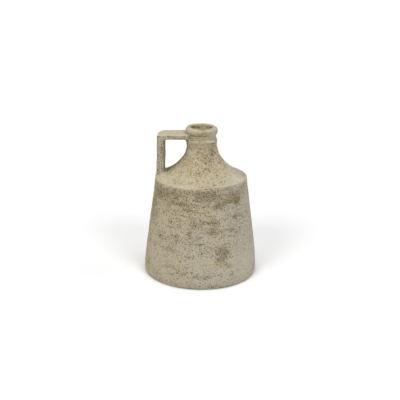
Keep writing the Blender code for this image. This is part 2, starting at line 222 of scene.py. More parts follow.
# %% The whole outside, measured along its length
outside = np.vstack((
    foot_edge, wall_line[wall_line[:, 1] < ridge_line[0][1]], ridge_line,
    funnel_line[funnel_line[:, 1] > ridge_line[-1][1]], collar_swell, collar_crown,
    lip_foot, groove_line, lip_belly[1:], lip_crown,
))
steps_taken = np.linalg.norm(np.diff(outside, axis=0), axis=1)
outside_length = np.concatenate(([0.0], np.cumsum(steps_taken)))


def length_at(height):
    """Length along the outside at which it first reaches a height."""
    above = int(np.argmax(outside[:, 1] >= height))
    low, high = outside[above - 1][1], outside[above][1]
    share = (height - low) / (high - low)
    return outside_length[above - 1] + share * (outside_length[above] - outside_length[above - 1])


def outside_at(lengths):
    """Radius, height and outward direction of the outside at some lengths."""
    def place(where):
        return np.column_stack([np.interp(where, outside_length, outside[:, axis]) for axis in (0, 1)])
    probe = 0.2 * MM
    along = place(lengths + probe) - place(lengths - probe)
    along /= np.linalg.norm(along, axis=1)[:, None]
    return place(lengths), np.column_stack((along[:, 1], -along[:, 0]))


print("From foot ring to mouth the skin is", round(outside_length[-1] / MM), "mm long")

# %% [markdown]
# ## Seams that can't be seen
# The real pot is luted: each piece is scored, slipped and smeared onto the next, and after firing no seam
# shows. Cutting the skins exactly at the seams would leave a hairline there. Here each skin instead runs on
# a little past its seam and sinks under its neighbour, so gently that the light can't find the change.

# %% A stretch of the outside, with its ends tucked under the neighbours
LAP = 1.8 * MM
LAP_DEPTH = 0.22 * MM
SHOULDER_SEAM = 200.4 * MM
SEAMS = {
    "foot": 0.0,
    "floor and wall": length_at(FOOT_HEIGHT),
    "wall and shoulder": length_at(SHOULDER_SEAM),
    "shoulder and collar": length_at(COLLAR_BASE),
    "collar and lip": length_at((COLLAR_TOP + LIP_BASE) / 2),
    "mouth": outside_length[-1],
}


def eased(share):
    """A share from 0 to 1 that starts and ends gently."""
    share = np.clip(share, 0, 1)
    return share * share * (3 - 2 * share)


def tucked_stretch(first_seam, last_seam, spacing):
    """The outside between two seams, in even steps, carried on under what lies beyond them."""
    first, last = SEAMS[first_seam], SEAMS[last_seam]
    low = first if first_seam == "foot" else first - LAP
    high = last if last_seam == "mouth" else last + LAP
    lengths = np.linspace(low, high, int((high - low) / spacing) + 1)
    beyond = np.maximum(first - lengths, lengths - last) / LAP
    places, outwards = outside_at(lengths)
    return places - outwards * (LAP_DEPTH * eased(beyond))[:, None]


for name, length in SEAMS.items():
    print("Seam", name, "at", round(length / MM, 1), "mm")

# %% [markdown]
# ## The marks that making leaves
# Nothing thrown by hand is true. The skin carries slow waves from the wheel, fine rings from the fingers,
# lumps, and pits where grit was dragged or a bubble opened. Blender's Displace modifier could do this,
# but here the heights are worked out with numpy, from random values on a lattice that are blended smoothly.
# One field in space serves every piece, so two pieces that meet are dented alike at their seam.

# %% Smooth random fields
LATTICE = 48


def cloudy(points, size, seed):
    """Smooth random values between -1 and 1 that change over about one size."""
    lattice = np.random.default_rng(seed).uniform(-1, 1, (LATTICE, LATTICE, LATTICE))
    cells = points / size
    base = np.floor(cells).astype(int)
    part = eased(cells - base)
    total = np.zeros(len(points))
    for corner in itertools.product((0, 1), repeat=3):
        weight = np.prod(np.where(corner, part, 1 - part), axis=1)
        i, j, k = ((base + corner) % LATTICE).T
        total += weight * lattice[i, j, k]
    return total


def pitted(points, cell, smallest, largest, share, seed):
    """Depth from 0 to 1 of round pits: at most one in each cell, and only in a share of the cells."""
    random = np.random.default_rng(seed).uniform(0, 1, (LATTICE, LATTICE, LATTICE, 5))
    base = np.floor(points / cell).astype(int)
    deepest = np.zeros(len(points))
    for corner in itertools.product((-1, 0, 1), repeat=3):
        near = base + corner
        i, j, k = (near % LATTICE).T
        dice = random[i, j, k]
        gap = np.linalg.norm(points - (near + dice[:, :3]) * cell, axis=1)
        radius = smallest + (largest - smallest) * dice[:, 3] ** 2
        depth = np.clip(1 - (gap / radius) ** 2, 0, 1) * (dice[:, 4] < share)
        deepest = np.maximum(deepest, depth)
    return deepest


sample = np.random.default_rng(1).uniform(0, 0.1, (2000, 3))
print("A cloudy field spreads by", round(float(cloudy(sample, 10 * MM, 2).std()), 2))

# %% [markdown]
# ## How deep the marks are
# The amounts are small: two tenths of a millimetre for the fingers' rings, a third for the lumps, and half
# for a pit. The rings are found by how far a point has travelled up or in along the pot, not by its height
# alone, so they go on evenly over the flat shoulder.

# %% Marks of the hand
PIT = 0.55 * MM
LARGE_PITS = {"cell": 14 * MM, "smallest": 0.8 * MM, "largest": 2.2 * MM, "share": 0.35, "seed": 11}
SMALL_PITS = {"cell": 6 * MM, "smallest": 0.8 * MM, "largest": 1.7 * MM, "share": 0.40, "seed": 12}
SMALL_PIT_DEPTH = 0.6
WALK_ROUND = 9 * MM
WALK_INWARDS = 1.3
POT_MARKS = (
    # the place it is looked up at, its depth, its size across, and the seed
    ("as it is", 0.30 * MM, 60 * MM, 3),    # slow waves
    ("turning", 0.13 * MM, 9 * MM, 4),      # rings from the fingers
    ("turning", 0.078 * MM, 3.5 * MM, 5),   # finer rings
    ("as it is", 0.16 * MM, 11 * MM, 6),    # lumps
    ("as it is", 0.112 * MM, 5 * MM, 7),    # smaller lumps
    ("as it is", 0.056 * MM, 2.6 * MM, 8),  # the drag of grit
)


def turning_place(points):
    """Places in which going once round the pot is a short walk, and going up or in is a long one."""
    radius = np.hypot(points[:, 0], points[:, 1])
    way_round = points[:, :2] / np.maximum(radius, MM)[:, None] * WALK_ROUND
    return np.column_stack((way_round, points[:, 2] - WALK_INWARDS * radius))


def pits_of(points):
    """Depth from 0 to 1 of the pits, a few large ones and many small ones."""
    return np.maximum(pitted(points, **LARGE_PITS), SMALL_PIT_DEPTH * pitted(points, **SMALL_PITS))


def summed_marks(marks, places):
    """Height of a list of marks, each looked up at its own kind of place."""
    return sum(depth * cloudy(places[place], size, seed) for place, depth, size, seed in marks)


def hand_marks(points, pits):
    """How far the skin stands proud of the true outline, in metres."""
    places = {"as it is": points, "turning": turning_place(points)}
    return summed_marks(POT_MARKS, places) - PIT * pits


print("Deepest mark in a sample:", round(float(-hand_marks(sample, pits_of(sample)).min() / MM), 2), "mm")

# %% [markdown]
# ## A pot that isn't quite true
# The foot of this vase was pared back a little on the side away from the handle and bulges under the handle.
# The ridge rides almost four millimetres high at the right front and has two low bumps at the left front,
# the funnel is pinched half way up and leans away from the handle, and the lip rises towards the back.
# Moving whole bands of the pot by a named amount copies that, and every piece goes through the same
# function, so nothing comes apart. Last, whatever has sunk below the floor is ground flat.

# %% Where a point lies on the pot
def degrees_round(points):
    """Degrees round the pot from the front, positive on the side away from the handle."""
    return np.degrees(np.arctan2(points[:, 0], -points[:, 1]))


def in_band(points, height, reach):
    """1 at a height, fading to nothing over a reach above it and below it."""
    return np.exp(-((points[:, 2] - height) / reach) ** 2)


above_ridge = np.array([[0, 0, RIDGE_HEIGHT + 10 * MM]])
print("10 mm above the ridge its band is", round(float(in_band(above_ridge, RIDGE_HEIGHT, 11 * MM)[0]), 2))

# %% [markdown]
# ## The foot, the ridge, the funnel and the lip, each moved by hand
# Most amounts come with the height at which they are strongest and how far up and down they reach. The
# ridge's rise starts and ends gently, at so many degrees round. All of this was found by laying the
# outline of the picture over the render and looking for the places where the two part.

# %% Lean and bulge
FOOT_PARED, PARED_BAND = 0.7 * MM, (20 * MM, 22 * MM)
FOOT_BULGE, BULGE_BAND = 1.0 * MM, (0.0, 14 * MM)
RIDGE_SWELL, SWELL_BAND = 1.2 * MM, (195 * MM, 11 * MM)
FUNNEL_PINCH, PINCH_BAND = 0.6 * MM, (248 * MM, 10 * MM)
RIDGE_RIDES_UP, RIDGE_BAND = 3.8 * MM, (RIDGE_HEIGHT, 11 * MM)
RISE_STARTS, RISE_ENDS = (-20, 42), (32, 95)
RIDGE_BUMPS = ((-32, 7, 1.6 * MM), (-11, 8, 1.4 * MM))
RIDGE_LUMPS, LUMPY_BAND, LUMPY_SIZE = 0.3 * MM, (RIDGE_HEIGHT, 6 * MM), 12 * MM
FUNNEL_LEAN, LEAN_FADE, LEAN_TOP = 1.3 * MM, 24 * MM, 260 * MM
LEAN_RADIUS, LEAN_RADIUS_FADE = 60 * MM, 18 * MM
LIP_LIFT = (-0.4 * MM, 0.55 * MM)
LIP_TILT, LIP_TILT_REACH = 0.5, 30 * MM


def pushed_sideways(points, radius):
    """How far the clay is pushed out from the axis at each point."""
    rim = eased(radius / FOOT_RADIUS * 2 - 1)
    to_the_right = points[:, 0] / radius
    away_from_handle = np.clip(to_the_right, 0, 1) ** 3
    under_handle = np.clip(-to_the_right, 0, 1) ** 3
    push = FOOT_BULGE * in_band(points, *BULGE_BAND) + RIDGE_SWELL * in_band(points, *SWELL_BAND)
    push *= under_handle
    push -= FOOT_PARED * in_band(points, *PARED_BAND) * away_from_handle
    return rim * push - FUNNEL_PINCH * in_band(points, *PINCH_BAND)


def pushed_up(points, radius):
    """How far the ridge and the lip are pushed up at each point."""
    degrees = degrees_round(points)
    ridge = RIDGE_RIDES_UP * eased((degrees - RISE_STARTS[0]) / RISE_STARTS[1])
    ridge *= 1 - eased((degrees - RISE_ENDS[0]) / RISE_ENDS[1])
    for azimuth, half_width, height in RIDGE_BUMPS:
        ridge += height * np.exp(-((degrees - azimuth) / half_width) ** 2)
    push = ridge * in_band(points, *RIDGE_BAND)
    rim = eased(radius / FOOT_RADIUS * 2 - 1)
    push += RIDGE_LUMPS * rim * in_band(points, *LUMPY_BAND) * cloudy(points, LUMPY_SIZE, seed=51)
    backwards = np.clip((points[:, 1] - LIP_TILT * points[:, 0]) / LIP_TILT_REACH, -1, 1)
    up_the_lip = eased((points[:, 2] - GROOVE_HEIGHT) / (LIP_TOP - GROOVE_HEIGHT))
    return push + up_the_lip * (LIP_LIFT[0] + LIP_LIFT[1] * backwards)


def leaned(points, radius):
    """How far the funnel leans away from the handle at each point."""
    funnel = eased((points[:, 2] - RIDGE_HEIGHT) / LEAN_FADE)
    funnel *= 1 - eased((points[:, 2] - LEAN_TOP) / LEAN_FADE)
    return FUNNEL_LEAN * funnel * (1 - eased((radius - LEAN_RADIUS) / LEAN_RADIUS_FADE))


def hand_shaped(points):
    """Points moved as the uneven pot is: at the foot, the ridge, the funnel and the lip."""
    radius = np.maximum(np.hypot(points[:, 0], points[:, 1]), MM)
    moved = points.copy()
    moved[:, :2] *= (1 + pushed_sideways(points, radius) / radius)[:, None]
    moved[:, 0] += leaned(points, radius)
    moved[:, 2] = np.maximum(moved[:, 2] + pushed_up(points, radius), 0)
    return moved


highest = max(float(pushed_up(np.array([[x, -y, RIDGE_HEIGHT]]), np.array([RIDGE_RADIUS]))[0])
              for x, y in RIDGE_RADIUS * ellipse_arc((0, 0), (1, 1), 0, 90))
print("The ridge rides up by", round(highest / MM, 1), "mm at the right front")

# %% [markdown]
# ## Rows for turning
# A turned piece is a closed outline spun round the axis, and the outline is a list of rows, from the foot up
# the outside and down the inside. Each row has a share of the hand marks: all of them on the outside, and
# none on joint faces that no one sees. One amount for the whole piece would be simpler, but it would dent the
# joints as well. Only edges sharper than a set angle are shaded sharp.

# %% Rows of an outline, and a mesh from points
SHARP_EDGE = math.radians(50)


def run_of(points, share, spacing=None):
    """Rows for an outline: radius, height and the share of the hand marks, in even steps if asked for."""
    points = np.array(points, float)
    if spacing:
        lengths = np.concatenate(([0.0], np.cumsum(np.linalg.norm(np.diff(points, axis=0), axis=1))))
        even = np.linspace(0, lengths[-1], max(int(lengths[-1] / spacing), 1) + 1)
        points = np.column_stack([np.interp(even, lengths, points[:, axis]) for axis in (0, 1)])
    return np.column_stack((points, np.full(len(points), share)))


def mesh_object(name, points, faces):
    """A mesh object from points and faces, shaded smooth except over sharp edges."""
    mesh = bpy.data.meshes.new(name)
    mesh.from_pydata(points.tolist(), [], faces)
    mesh.shade_smooth()
    mesh.set_sharp_from_angle(angle=SHARP_EDGE)
    thing = bpy.data.objects.new(name, mesh)
    bpy.context.scene.collection.objects.link(thing)
    return thing


print("A run of 10 mm in 1 mm steps has", len(run_of([(0, 0), (0, 10 * MM)], 1, MM)), "rows")

# %% [markdown]
# ## Turning a skin
# Blender's Screw modifier spins an outline, but here the grid of points is made directly, because each point
# also has to be moved along its own outward direction. The hand marks come first and the uneven shape of the
# whole pot after them. Where an outline starts and ends on the axis, the middle is closed with a fan.

# %% Turn an outline into a closed mesh
BODY_SIDES = 512


def closed_on_axis(faces, points, grid, sides):
    """Put one point in place of each end ring, which lies on the axis."""
    inner = points[sides:-sides]
    first, last = points[:sides].mean(0), points[-sides:].mean(0)
    kept = [[corner - sides for corner in face] for face in faces
            if min(face) >= sides and max(face) < len(points) - sides]
    count = len(inner)
    start, end = grid[1] - sides, grid[-2] - sides
    kept += [[count, int(b), int(a)] for a, b in zip(start, np.roll(start, -1))]
    kept += [[count + 1, int(a), int(b)] for a, b in zip(end, np.roll(end, -1))]
    return kept, np.vstack((inner, first, last))


def turned_skin(name, runs, sides):
    """Spin an outline that climbs the outside and comes down the inside, and dent it by hand."""
    rows = np.vstack(runs)
    on_axis = rows[0][0] == 0.0
    along = np.roll(rows[:, :2], -1, axis=0) - np.roll(rows[:, :2], 1, axis=0)
    along /= np.maximum(np.linalg.norm(along, axis=1), 1e-9)[:, None]
    angles = np.arange(sides) * math.tau / sides
    spokes = np.column_stack((np.cos(angles), np.sin(angles)))
    points = np.empty((len(rows), sides, 3))
    points[:, :, :2] = rows[:, None, :1] * spokes[None]
    points[:, :, 2] = rows[:, 1:2]
    outward = np.empty_like(points)
    outward[:, :, :2] = along[:, None, 1:] * spokes[None]
    outward[:, :, 2] = -along[:, :1]
    flat = points.reshape(-1, 3)
    marks = np.repeat(rows[:, 2], sides) * hand_marks(flat, pits_of(flat))
    flat = hand_shaped(flat + outward.reshape(-1, 3) * marks[:, None])
    grid = np.arange(len(rows) * sides).reshape(len(rows), sides)
    below, above = (grid[:-1], grid[1:]) if on_axis else (grid, np.roll(grid, -1, axis=0))
    quads = np.stack((below, np.roll(below, -1, 1), np.roll(above, -1, 1), above), axis=2).reshape(-1, 4)
    faces = quads.tolist()
    if on_axis:
        faces, flat = closed_on_axis(faces, flat, grid, sides)
    return mesh_object(name, flat, faces)


print("A step round the foot is", round(math.tau * FOOT_RADIUS / BODY_SIDES / MM, 1), "mm")

# %% [markdown]
# ## The floor slab and the wall
# The floor is a disc with a turned foot ring, and its raised middle locates the wall, which stands on the
# rim. Their hidden joint faces follow the CAD pieces. The wall's grid is about 1.4 mm, fine enough for pits,
# and the faces inside can be longer, because only a little light gets down there.

# %% Floor slab and body wall
SLIP_GAP = 0.3 * MM
FLOOR_TOP = 15.8 * MM
FOOT_RING_INNER = 96.6 * MM
FOOT_RECESS = (95.1 * MM, 2.5 * MM)
SKIN_STEP = 1.4 * MM
LAND_INSET = 3 * MM
SEEN, HALF_SEEN, UNDERSIDE_SHARE, HIDDEN = 1.0, 0.6, 0.5, 0.0

land = FOOT_RADIUS - LAND_INSET
upstand = wall_radius(FLOOR_TOP) - WALL_THICKNESS - SLIP_GAP
floor_slab = turned_skin("floor_slab_skin", [
    run_of([(0.0, FOOT_RECESS[1]), FOOT_RECESS], UNDERSIDE_SHARE, 4 * MM),
    run_of([(FOOT_RING_INNER, 0.0), (FOOT_RADIUS - FOOT_TUCK - MM, 0.0)], HIDDEN, 3 * MM),
    run_of(tucked_stretch("foot", "floor and wall", SKIN_STEP), SEEN),
    run_of([(land, FOOT_HEIGHT), (upstand, FOOT_HEIGHT), (upstand, FLOOR_TOP - MM)], HIDDEN),
    run_of([(upstand - MM, FLOOR_TOP), (0.0, FLOOR_TOP)], HALF_SEEN, 4 * MM),
], BODY_SIDES)

bore_heights = np.linspace(SHOULDER_SEAM, FOOT_HEIGHT + SLIP_GAP, 40)
bore = np.column_stack((wall_radius(bore_heights) - WALL_THICKNESS, bore_heights))
body_wall = turned_skin("body_wall_skin", [
    run_of(tucked_stretch("floor and wall", "wall and shoulder", SKIN_STEP), SEEN),
    run_of([(wall_radius(SHOULDER_SEAM) - LAND_INSET, SHOULDER_SEAM)], HIDDEN),
    run_of(bore, HALF_SEEN),
    run_of([(land, FOOT_HEIGHT + SLIP_GAP)], HIDDEN),
], BODY_SIDES)
for piece in (floor_slab, body_wall):
    print(piece.name, "has", len(piece.data.polygons), "faces")

# %% [markdown]
# ## The shoulder, the collar and the lip
# These are smaller across, so they take fewer sides and shorter steps. The shoulder's spigot passes up inside
# the collar and the lip, as it does in the CAD model, and the bore of the neck is finished too,
# because the mouth is open towards the camera.

# %% Shoulder and neck, collar, lip
TENON_THICKNESS = 5 * MM
TENON_DEPTH = 6 * MM
TENON_RADIUS = wall_radius(SHOULDER_SEAM) - WALL_THICKNESS - SLIP_GAP
TENON_BORE = TENON_RADIUS - TENON_THICKNESS
TENON_FOOT = SHOULDER_SEAM - TENON_DEPTH
SPIGOT_RADIUS = 26.0 * MM
SPIGOT_IN_LIP = 12.2 * MM
SPIGOT_TOP = LIP_BASE + SPIGOT_IN_LIP - SLIP_GAP
COLLAR_LEDGE = COLLAR_BASE - SLIP_GAP
SHOULDER_SIDES = 448
NECK_SIDES = 288
NECK_STEP = 0.7 * MM
LININGS_SHARE, BORES_SHARE = 0.8, 0.9

ledge = (THROAT_RADIUS - 2 * MM, COLLAR_LEDGE)
funnel_lengths = np.linspace(length_at(THROAT_HEIGHT), length_at(RIDGE_HEIGHT + MM), 60)
places, outwards = outside_at(funnel_lengths)
lining = places - outwards * SHOULDER_THICKNESS
lining = lining[lining[:, 0] < TENON_BORE]
shoulder = turned_skin("shoulder_skin", [
    run_of(tucked_stretch("wall and shoulder", "shoulder and collar", SKIN_STEP), SEEN),
    run_of([ledge, (SPIGOT_RADIUS, COLLAR_LEDGE)], HIDDEN),
    run_of([(SPIGOT_RADIUS, SPIGOT_TOP), (BORE_RADIUS + MM, SPIGOT_TOP)], HIDDEN),
    run_of([(BORE_RADIUS, SPIGOT_TOP), lining[0]], LININGS_SHARE, 2 * MM),
    run_of(lining[1:], LININGS_SHARE),
    run_of([(TENON_BORE, TENON_FOOT), (TENON_RADIUS, TENON_FOOT), (TENON_RADIUS, SHOULDER_SEAM)], HIDDEN),
    run_of([(TENON_RADIUS, SHOULDER_SEAM + SLIP_GAP)], HIDDEN),
    run_of([(wall_radius(SHOULDER_SEAM) - LAND_INSET, SHOULDER_SEAM + SLIP_GAP)], HIDDEN),
], SHOULDER_SIDES)
socket = SPIGOT_RADIUS + SLIP_GAP
collar = turned_skin("collar_skin", [
    run_of(tucked_stretch("shoulder and collar", "collar and lip", NECK_STEP), SEEN),
    run_of([(socket, COLLAR_TOP), (socket, COLLAR_BASE)], HIDDEN),
    run_of([(ledge[0], COLLAR_BASE)], HIDDEN),
], NECK_SIDES)
bore_top = LIP_TOP - LIP_EDGE[1] - MM
lip = turned_skin("lip_skin", [
    run_of(tucked_stretch("collar and lip", "mouth", NECK_STEP), SEEN),
    run_of([(BORE_RADIUS, bore_top), (BORE_RADIUS, SPIGOT_TOP + SLIP_GAP)], BORES_SHARE, MM),
    run_of([(socket, SPIGOT_TOP + SLIP_GAP), (socket, LIP_BASE)], HIDDEN),
], NECK_SIDES)
for piece in (shoulder, collar, lip):
    print(piece.name, "has", len(piece.data.polygons), "faces")

# %% [markdown]
# ## The strap handle, seen from the side
# A flat strap was laid across the air from the neck, bent square and set down on the shoulder just inside
# the ridge. Its side outline is drawn slice by slice across the width, because the slices differ: the elbow
# is nearly square in front and rounder behind, and the clay smeared under the root follows the round neck.

# %% One slice of the strap
STRAP_HALF = 20.0 * MM
STRAP_EDGE = 3.6 * MM
BAR_TOP = (294.9 * MM, 297.1 * MM)
BAR_FALL = 1.4 * MM
BAR_UNDERSIDE = 283.9 * MM
BAR_ROOT = 17.0 * MM
SMEAR = (4.5 * MM, 6.5 * MM)
HEAD_REACH = 89.6 * MM
FOOT_REACH = 90.8 * MM
HEEL_REACH = 94.4 * MM
HEEL_HEIGHT = 34.0 * MM
UPRIGHT_THICKNESS = 15.2 * MM
TOE = (1.6 * MM, 5.0 * MM)
ELBOW_FRONT = (7.0 * MM, 3.2 * MM)
ELBOW_BACK = (25.0 * MM, 7.0 * MM)
ELBOW_INNER_ROUND = 7.0 * MM
ELBOW_PULL = 0.4
ROOT_HEIGHT = RIDGE_HEIGHT - 3.0 * MM


def shoulder_height(radius):
    """Height of the shoulder's outside at a radius."""
    return float(np.interp(radius, funnel_line[::-1, 0], funnel_line[::-1, 1]))


def strap_slice(across):
    """Side outline of the strap at a distance across its width: reach from the axis, and height."""
    share = (across + STRAP_HALF) / (2 * STRAP_HALF)
    elbow_reach, elbow_drop = (front + (back - front) * share for front, back in zip(ELBOW_FRONT, ELBOW_BACK))
    top = BAR_TOP[0] + (BAR_TOP[1] - BAR_TOP[0]) * share
    fallen = top - BAR_FALL
    inner_foot = FOOT_REACH - UPRIGHT_THICKNESS
    seat = shoulder_height(math.hypot(inner_foot, across))
    neck = math.sqrt(COLLAR_RADIUS ** 2 - across ** 2)
    elbow = pulled_curve(
        (HEAD_REACH - elbow_reach, fallen), (HEAD_REACH - ELBOW_PULL * elbow_reach, fallen),
        (HEAD_REACH, fallen - ELBOW_PULL * elbow_drop), (HEAD_REACH, fallen - elbow_drop), steps=14,
    )
    heel_centre = (HEEL_REACH, ROOT_HEIGHT + HEEL_HEIGHT)
    heel = ellipse_arc(heel_centre, (HEEL_REACH - FOOT_REACH, HEEL_HEIGHT), 180, 270, 10)
    toe = ellipse_arc((inner_foot - TOE[0], seat + TOE[1]), TOE, -90, 0, 8)
    corner = (HEAD_REACH - UPRIGHT_THICKNESS, BAR_UNDERSIDE)
    inner_elbow = rounded_corner(toe[-1], corner, (0, BAR_UNDERSIDE), ELBOW_INNER_ROUND, 8)
    smear = ellipse_arc((neck + SMEAR[0], BAR_UNDERSIDE - SMEAR[1]), SMEAR, 90, 180, 8)
    ends = [(BAR_ROOT, BAR_UNDERSIDE - SMEAR[1]), (BAR_ROOT, top)]
    return np.vstack((elbow, heel, [(toe[0][0], ROOT_HEIGHT)], toe, inner_elbow, smear, ends))


print("A slice of the strap has", len(strap_slice(0.0)), "points")

# %% [markdown]
# ## From slices to a strap
# The slices are joined like the ribs of a boat. Towards each long edge they shrink along an arc, which rolls
# the edge over as a wet sponge does. A Bevel modifier could round the edges too, but a roll that is built
# into the ribs follows every bend of the strap by itself.

# %% Loft the strap
EDGE_RIBS, FLAT_RIBS = 6, 17


def inset(outline, distance):
    """A closed outline moved inwards, each point along its own normal."""
    along = np.roll(outline, -1, axis=0) - np.roll(outline, 1, axis=0)
    along /= np.linalg.norm(along, axis=1)[:, None]
    return outline + np.column_stack((along[:, 1], -along[:, 0])) * -distance


def lofted_strap(name):
    """Ribs of the strap joined side to side, with triangles to close both edges."""
    rolls = np.linspace(0, math.pi / 2, EDGE_RIBS)
    edge = STRAP_HALF - STRAP_EDGE + STRAP_EDGE * np.sin(rolls)
    middle = np.linspace(-edge[0], edge[0], FLAT_RIBS)[1:-1]
    ribs, caps = [], []
    for across in np.concatenate((-edge[::-1], middle, edge)):
        past = max(abs(across) - (STRAP_HALF - STRAP_EDGE), 0.0)
        drawn_in = STRAP_EDGE - math.sqrt(max(STRAP_EDGE ** 2 - past ** 2, 0.0))
        side = inset(strap_slice(float(np.clip(across, -STRAP_HALF, STRAP_HALF))), -drawn_in)
        ribs.append(np.column_stack((-side[:, 0], np.full(len(side), across), side[:, 1])))
    count = len(ribs[0])
    grid = np.arange(len(ribs) * count).reshape(len(ribs), count)
    back, front = grid[:-1], grid[1:]
    quads = np.stack((back, front, np.roll(front, -1, 1), np.roll(back, -1, 1)), axis=2).reshape(-1, 4)
    for across, ring, backwards in ((-STRAP_HALF, grid[0], False), (STRAP_HALF, grid[-1], True)):
        outline = [Vector((*place, 0.0)) for place in strap_slice(across)]
        caps += [[int(ring[i]) for i in sorted(corners, reverse=backwards)]
                 for corners in tessellate_polygon([outline])]
    return mesh_object(name, np.vstack(ribs), quads.tolist() + caps)


handle = lofted_strap("handle_skin")
print("The loft has", len(handle.data.polygons), "faces")

# %% [markdown]
# ## Saddle cuts and even faces
# A plug the size of the pot, 1.5 mm inside its skin, is cut out of the loft with a Boolean, so each end is a
# saddle that sits in the pot instead of running through it. Where the edge rolls round the tight elbow the
# ribs cross each other a little, so the Boolean is told to expect that. Last, a voxel remesh at 0.8 mm turns
# the long ribs into small even faces, ready to be dented.

# %% Cut and remesh the strap
ROOT_SINK = 1.5 * MM
STRAP_GRAIN = 0.8 * MM
PLUG_START, PLUG_DEPTH, PLUG_SIDES = 4 * MM, 20 * MM, 96


def solid_of_pot():
    """Plain turned solid that lies a little inside the shoulder's and the neck's skin."""
    lengths = np.linspace(length_at(RIDGE_HEIGHT - PLUG_START), length_at(THROAT_HEIGHT), 60)
    places, outwards = outside_at(lengths)
    slope = places - outwards * ROOT_SINK
    neck = GROOVE_RADIUS - ROOT_SINK
    low = RIDGE_HEIGHT - PLUG_DEPTH
    rows = [(0.0, low), (slope[0][0], low), *slope, (neck, slope[-1][1]), (neck, LIP_TOP), (0.0, LIP_TOP)]
    return turned_skin("pot_plug", [run_of(rows, HIDDEN)], PLUG_SIDES)


def with_modifiers_applied(thing):
    """Bake an object's modifiers into its mesh."""
    evaluated = thing.evaluated_get(bpy.context.evaluated_depsgraph_get())
    mesh = bpy.data.meshes.new_from_object(evaluated)
    thing.modifiers.clear()
    thing.data = mesh
    return thing


plug = solid_of_pot()
cut = handle.modifiers.new("Saddle cuts", "BOOLEAN")
cut.operation = "DIFFERENCE"
cut.solver = "EXACT"
cut.use_self = True
cut.object = plug
remesh = handle.modifiers.new("Even faces", "REMESH")
remesh.mode = "VOXEL"
remesh.voxel_size = STRAP_GRAIN
soften = handle.modifiers.new("Sponged", "SMOOTH")
soften.factor = 0.5
soften.iterations = 4
with_modifiers_applied(handle)
bpy.data.objects.remove(plug)
print("The strap has", len(handle.data.polygons), "faces")

# %% [markdown]
# ## How far the strap is from the pot
# The strap's looks and its roots both depend on how near the pot each of its points is. The pot's outline is
# known, so the nearest place on it can be looked up, which is quicker and steadier than asking the meshes.

# %% Distance from the pot
OUTLINE_FROM, OUTLINE_LEFT_OUT, OUTLINE_STEP = 190 * MM, 12 * MM, 0.4 * MM
BATCHES = 40


def mesh_arrays(thing):
    """Points and point normals of a mesh as arrays."""
    count = len(thing.data.vertices)
    points, normals = np.empty(count * 3), np.empty(count * 3)
    thing.data.vertices.foreach_get("co", points)
    thing.data.vertices.foreach_get("normal", normals)
    return points.reshape(-1, 3), normals.reshape(-1, 3)


def above_the_pot(points):
    """Distance of points from the turned skin, negative inside it, and the skin's direction there."""
    flat = np.column_stack((np.hypot(points[:, 0], points[:, 1]), points[:, 2]))
    lengths = np.arange(length_at(OUTLINE_FROM), SEAMS["mouth"] - OUTLINE_LEFT_OUT, OUTLINE_STEP)
    places, outwards = outside_at(lengths)
    distance = np.empty(len(flat))
    direction = np.empty((len(flat), 3))
    for index in np.array_split(np.arange(len(flat)), BATCHES):
        gaps = flat[index][:, None] - places[None]
        nearest = np.argmin((gaps ** 2).sum(2), axis=1)
        facing = outwards[nearest]
        distance[index] = (gaps[np.arange(len(index)), nearest] * facing).sum(1)
        radius = np.maximum(flat[index, 0], MM)
        direction[index, :2] = points[index, :2] / radius[:, None] * facing[:, :1]
        direction[index, 2] = facing[:, 1]
    return distance, direction


points, normals = mesh_arrays(handle)
root_distance, root_direction = above_the_pot(points)
print("Points of the strap within 3 mm of the pot:", int((root_distance < 3 * MM).sum()))

# %% [markdown]
# ## Luting the handle on
# Where the strap meets the pot, the potter draws the clay out with a thumb, so its sides flare into a small
# hollow instead of standing on the pot like a post. The flare grows along a quarter circle: nothing at its
# reach from the pot, and all the way out at the skin itself. At the foot it is broader, in front and inside,
# where the most clay was smeared. Last, the upright is squeezed a little at half height, as it is when a hand
# holds it to press the foot down.

# %% Flare the roots and dent the strap
ROOT_FLARE = 2.5 * MM
FOOT_FLARE = 3.5 * MM
STRAP_FOOT_TOP, STRAP_FOOT_FADE = 236 * MM, 16 * MM
FLARE_RADIUS, FLARE_FADE = 86 * MM, 7 * MM
OUTER_FACE_KEPT = 1.5
LEAST_SIDEWAYS = 0.3
UPRIGHT_FROM, UPRIGHT_FADE = 60 * MM, 12 * MM
UPRIGHT_WAIST, WAIST_BAND = 0.05, (246 * MM, 20 * MM)
PULLED_OUT = (0.25, 1, 0.25)
STRAP_MARKS = (
    # the place it is looked up at, its depth, its size across, and the seed
    ("as it is", 0.16 * MM, 10 * MM, 21),    # lumps
    ("as it is", 0.112 * MM, 4.5 * MM, 22),  # smaller lumps
    ("pulled", 0.14 * MM, 3 * MM, 23),       # lines from pulling the strap through a wet hand
)


def foot_share(points):
    """1 at the strap's foot and 0 well above it."""
    return eased((STRAP_FOOT_TOP - points[:, 2]) / STRAP_FOOT_FADE)


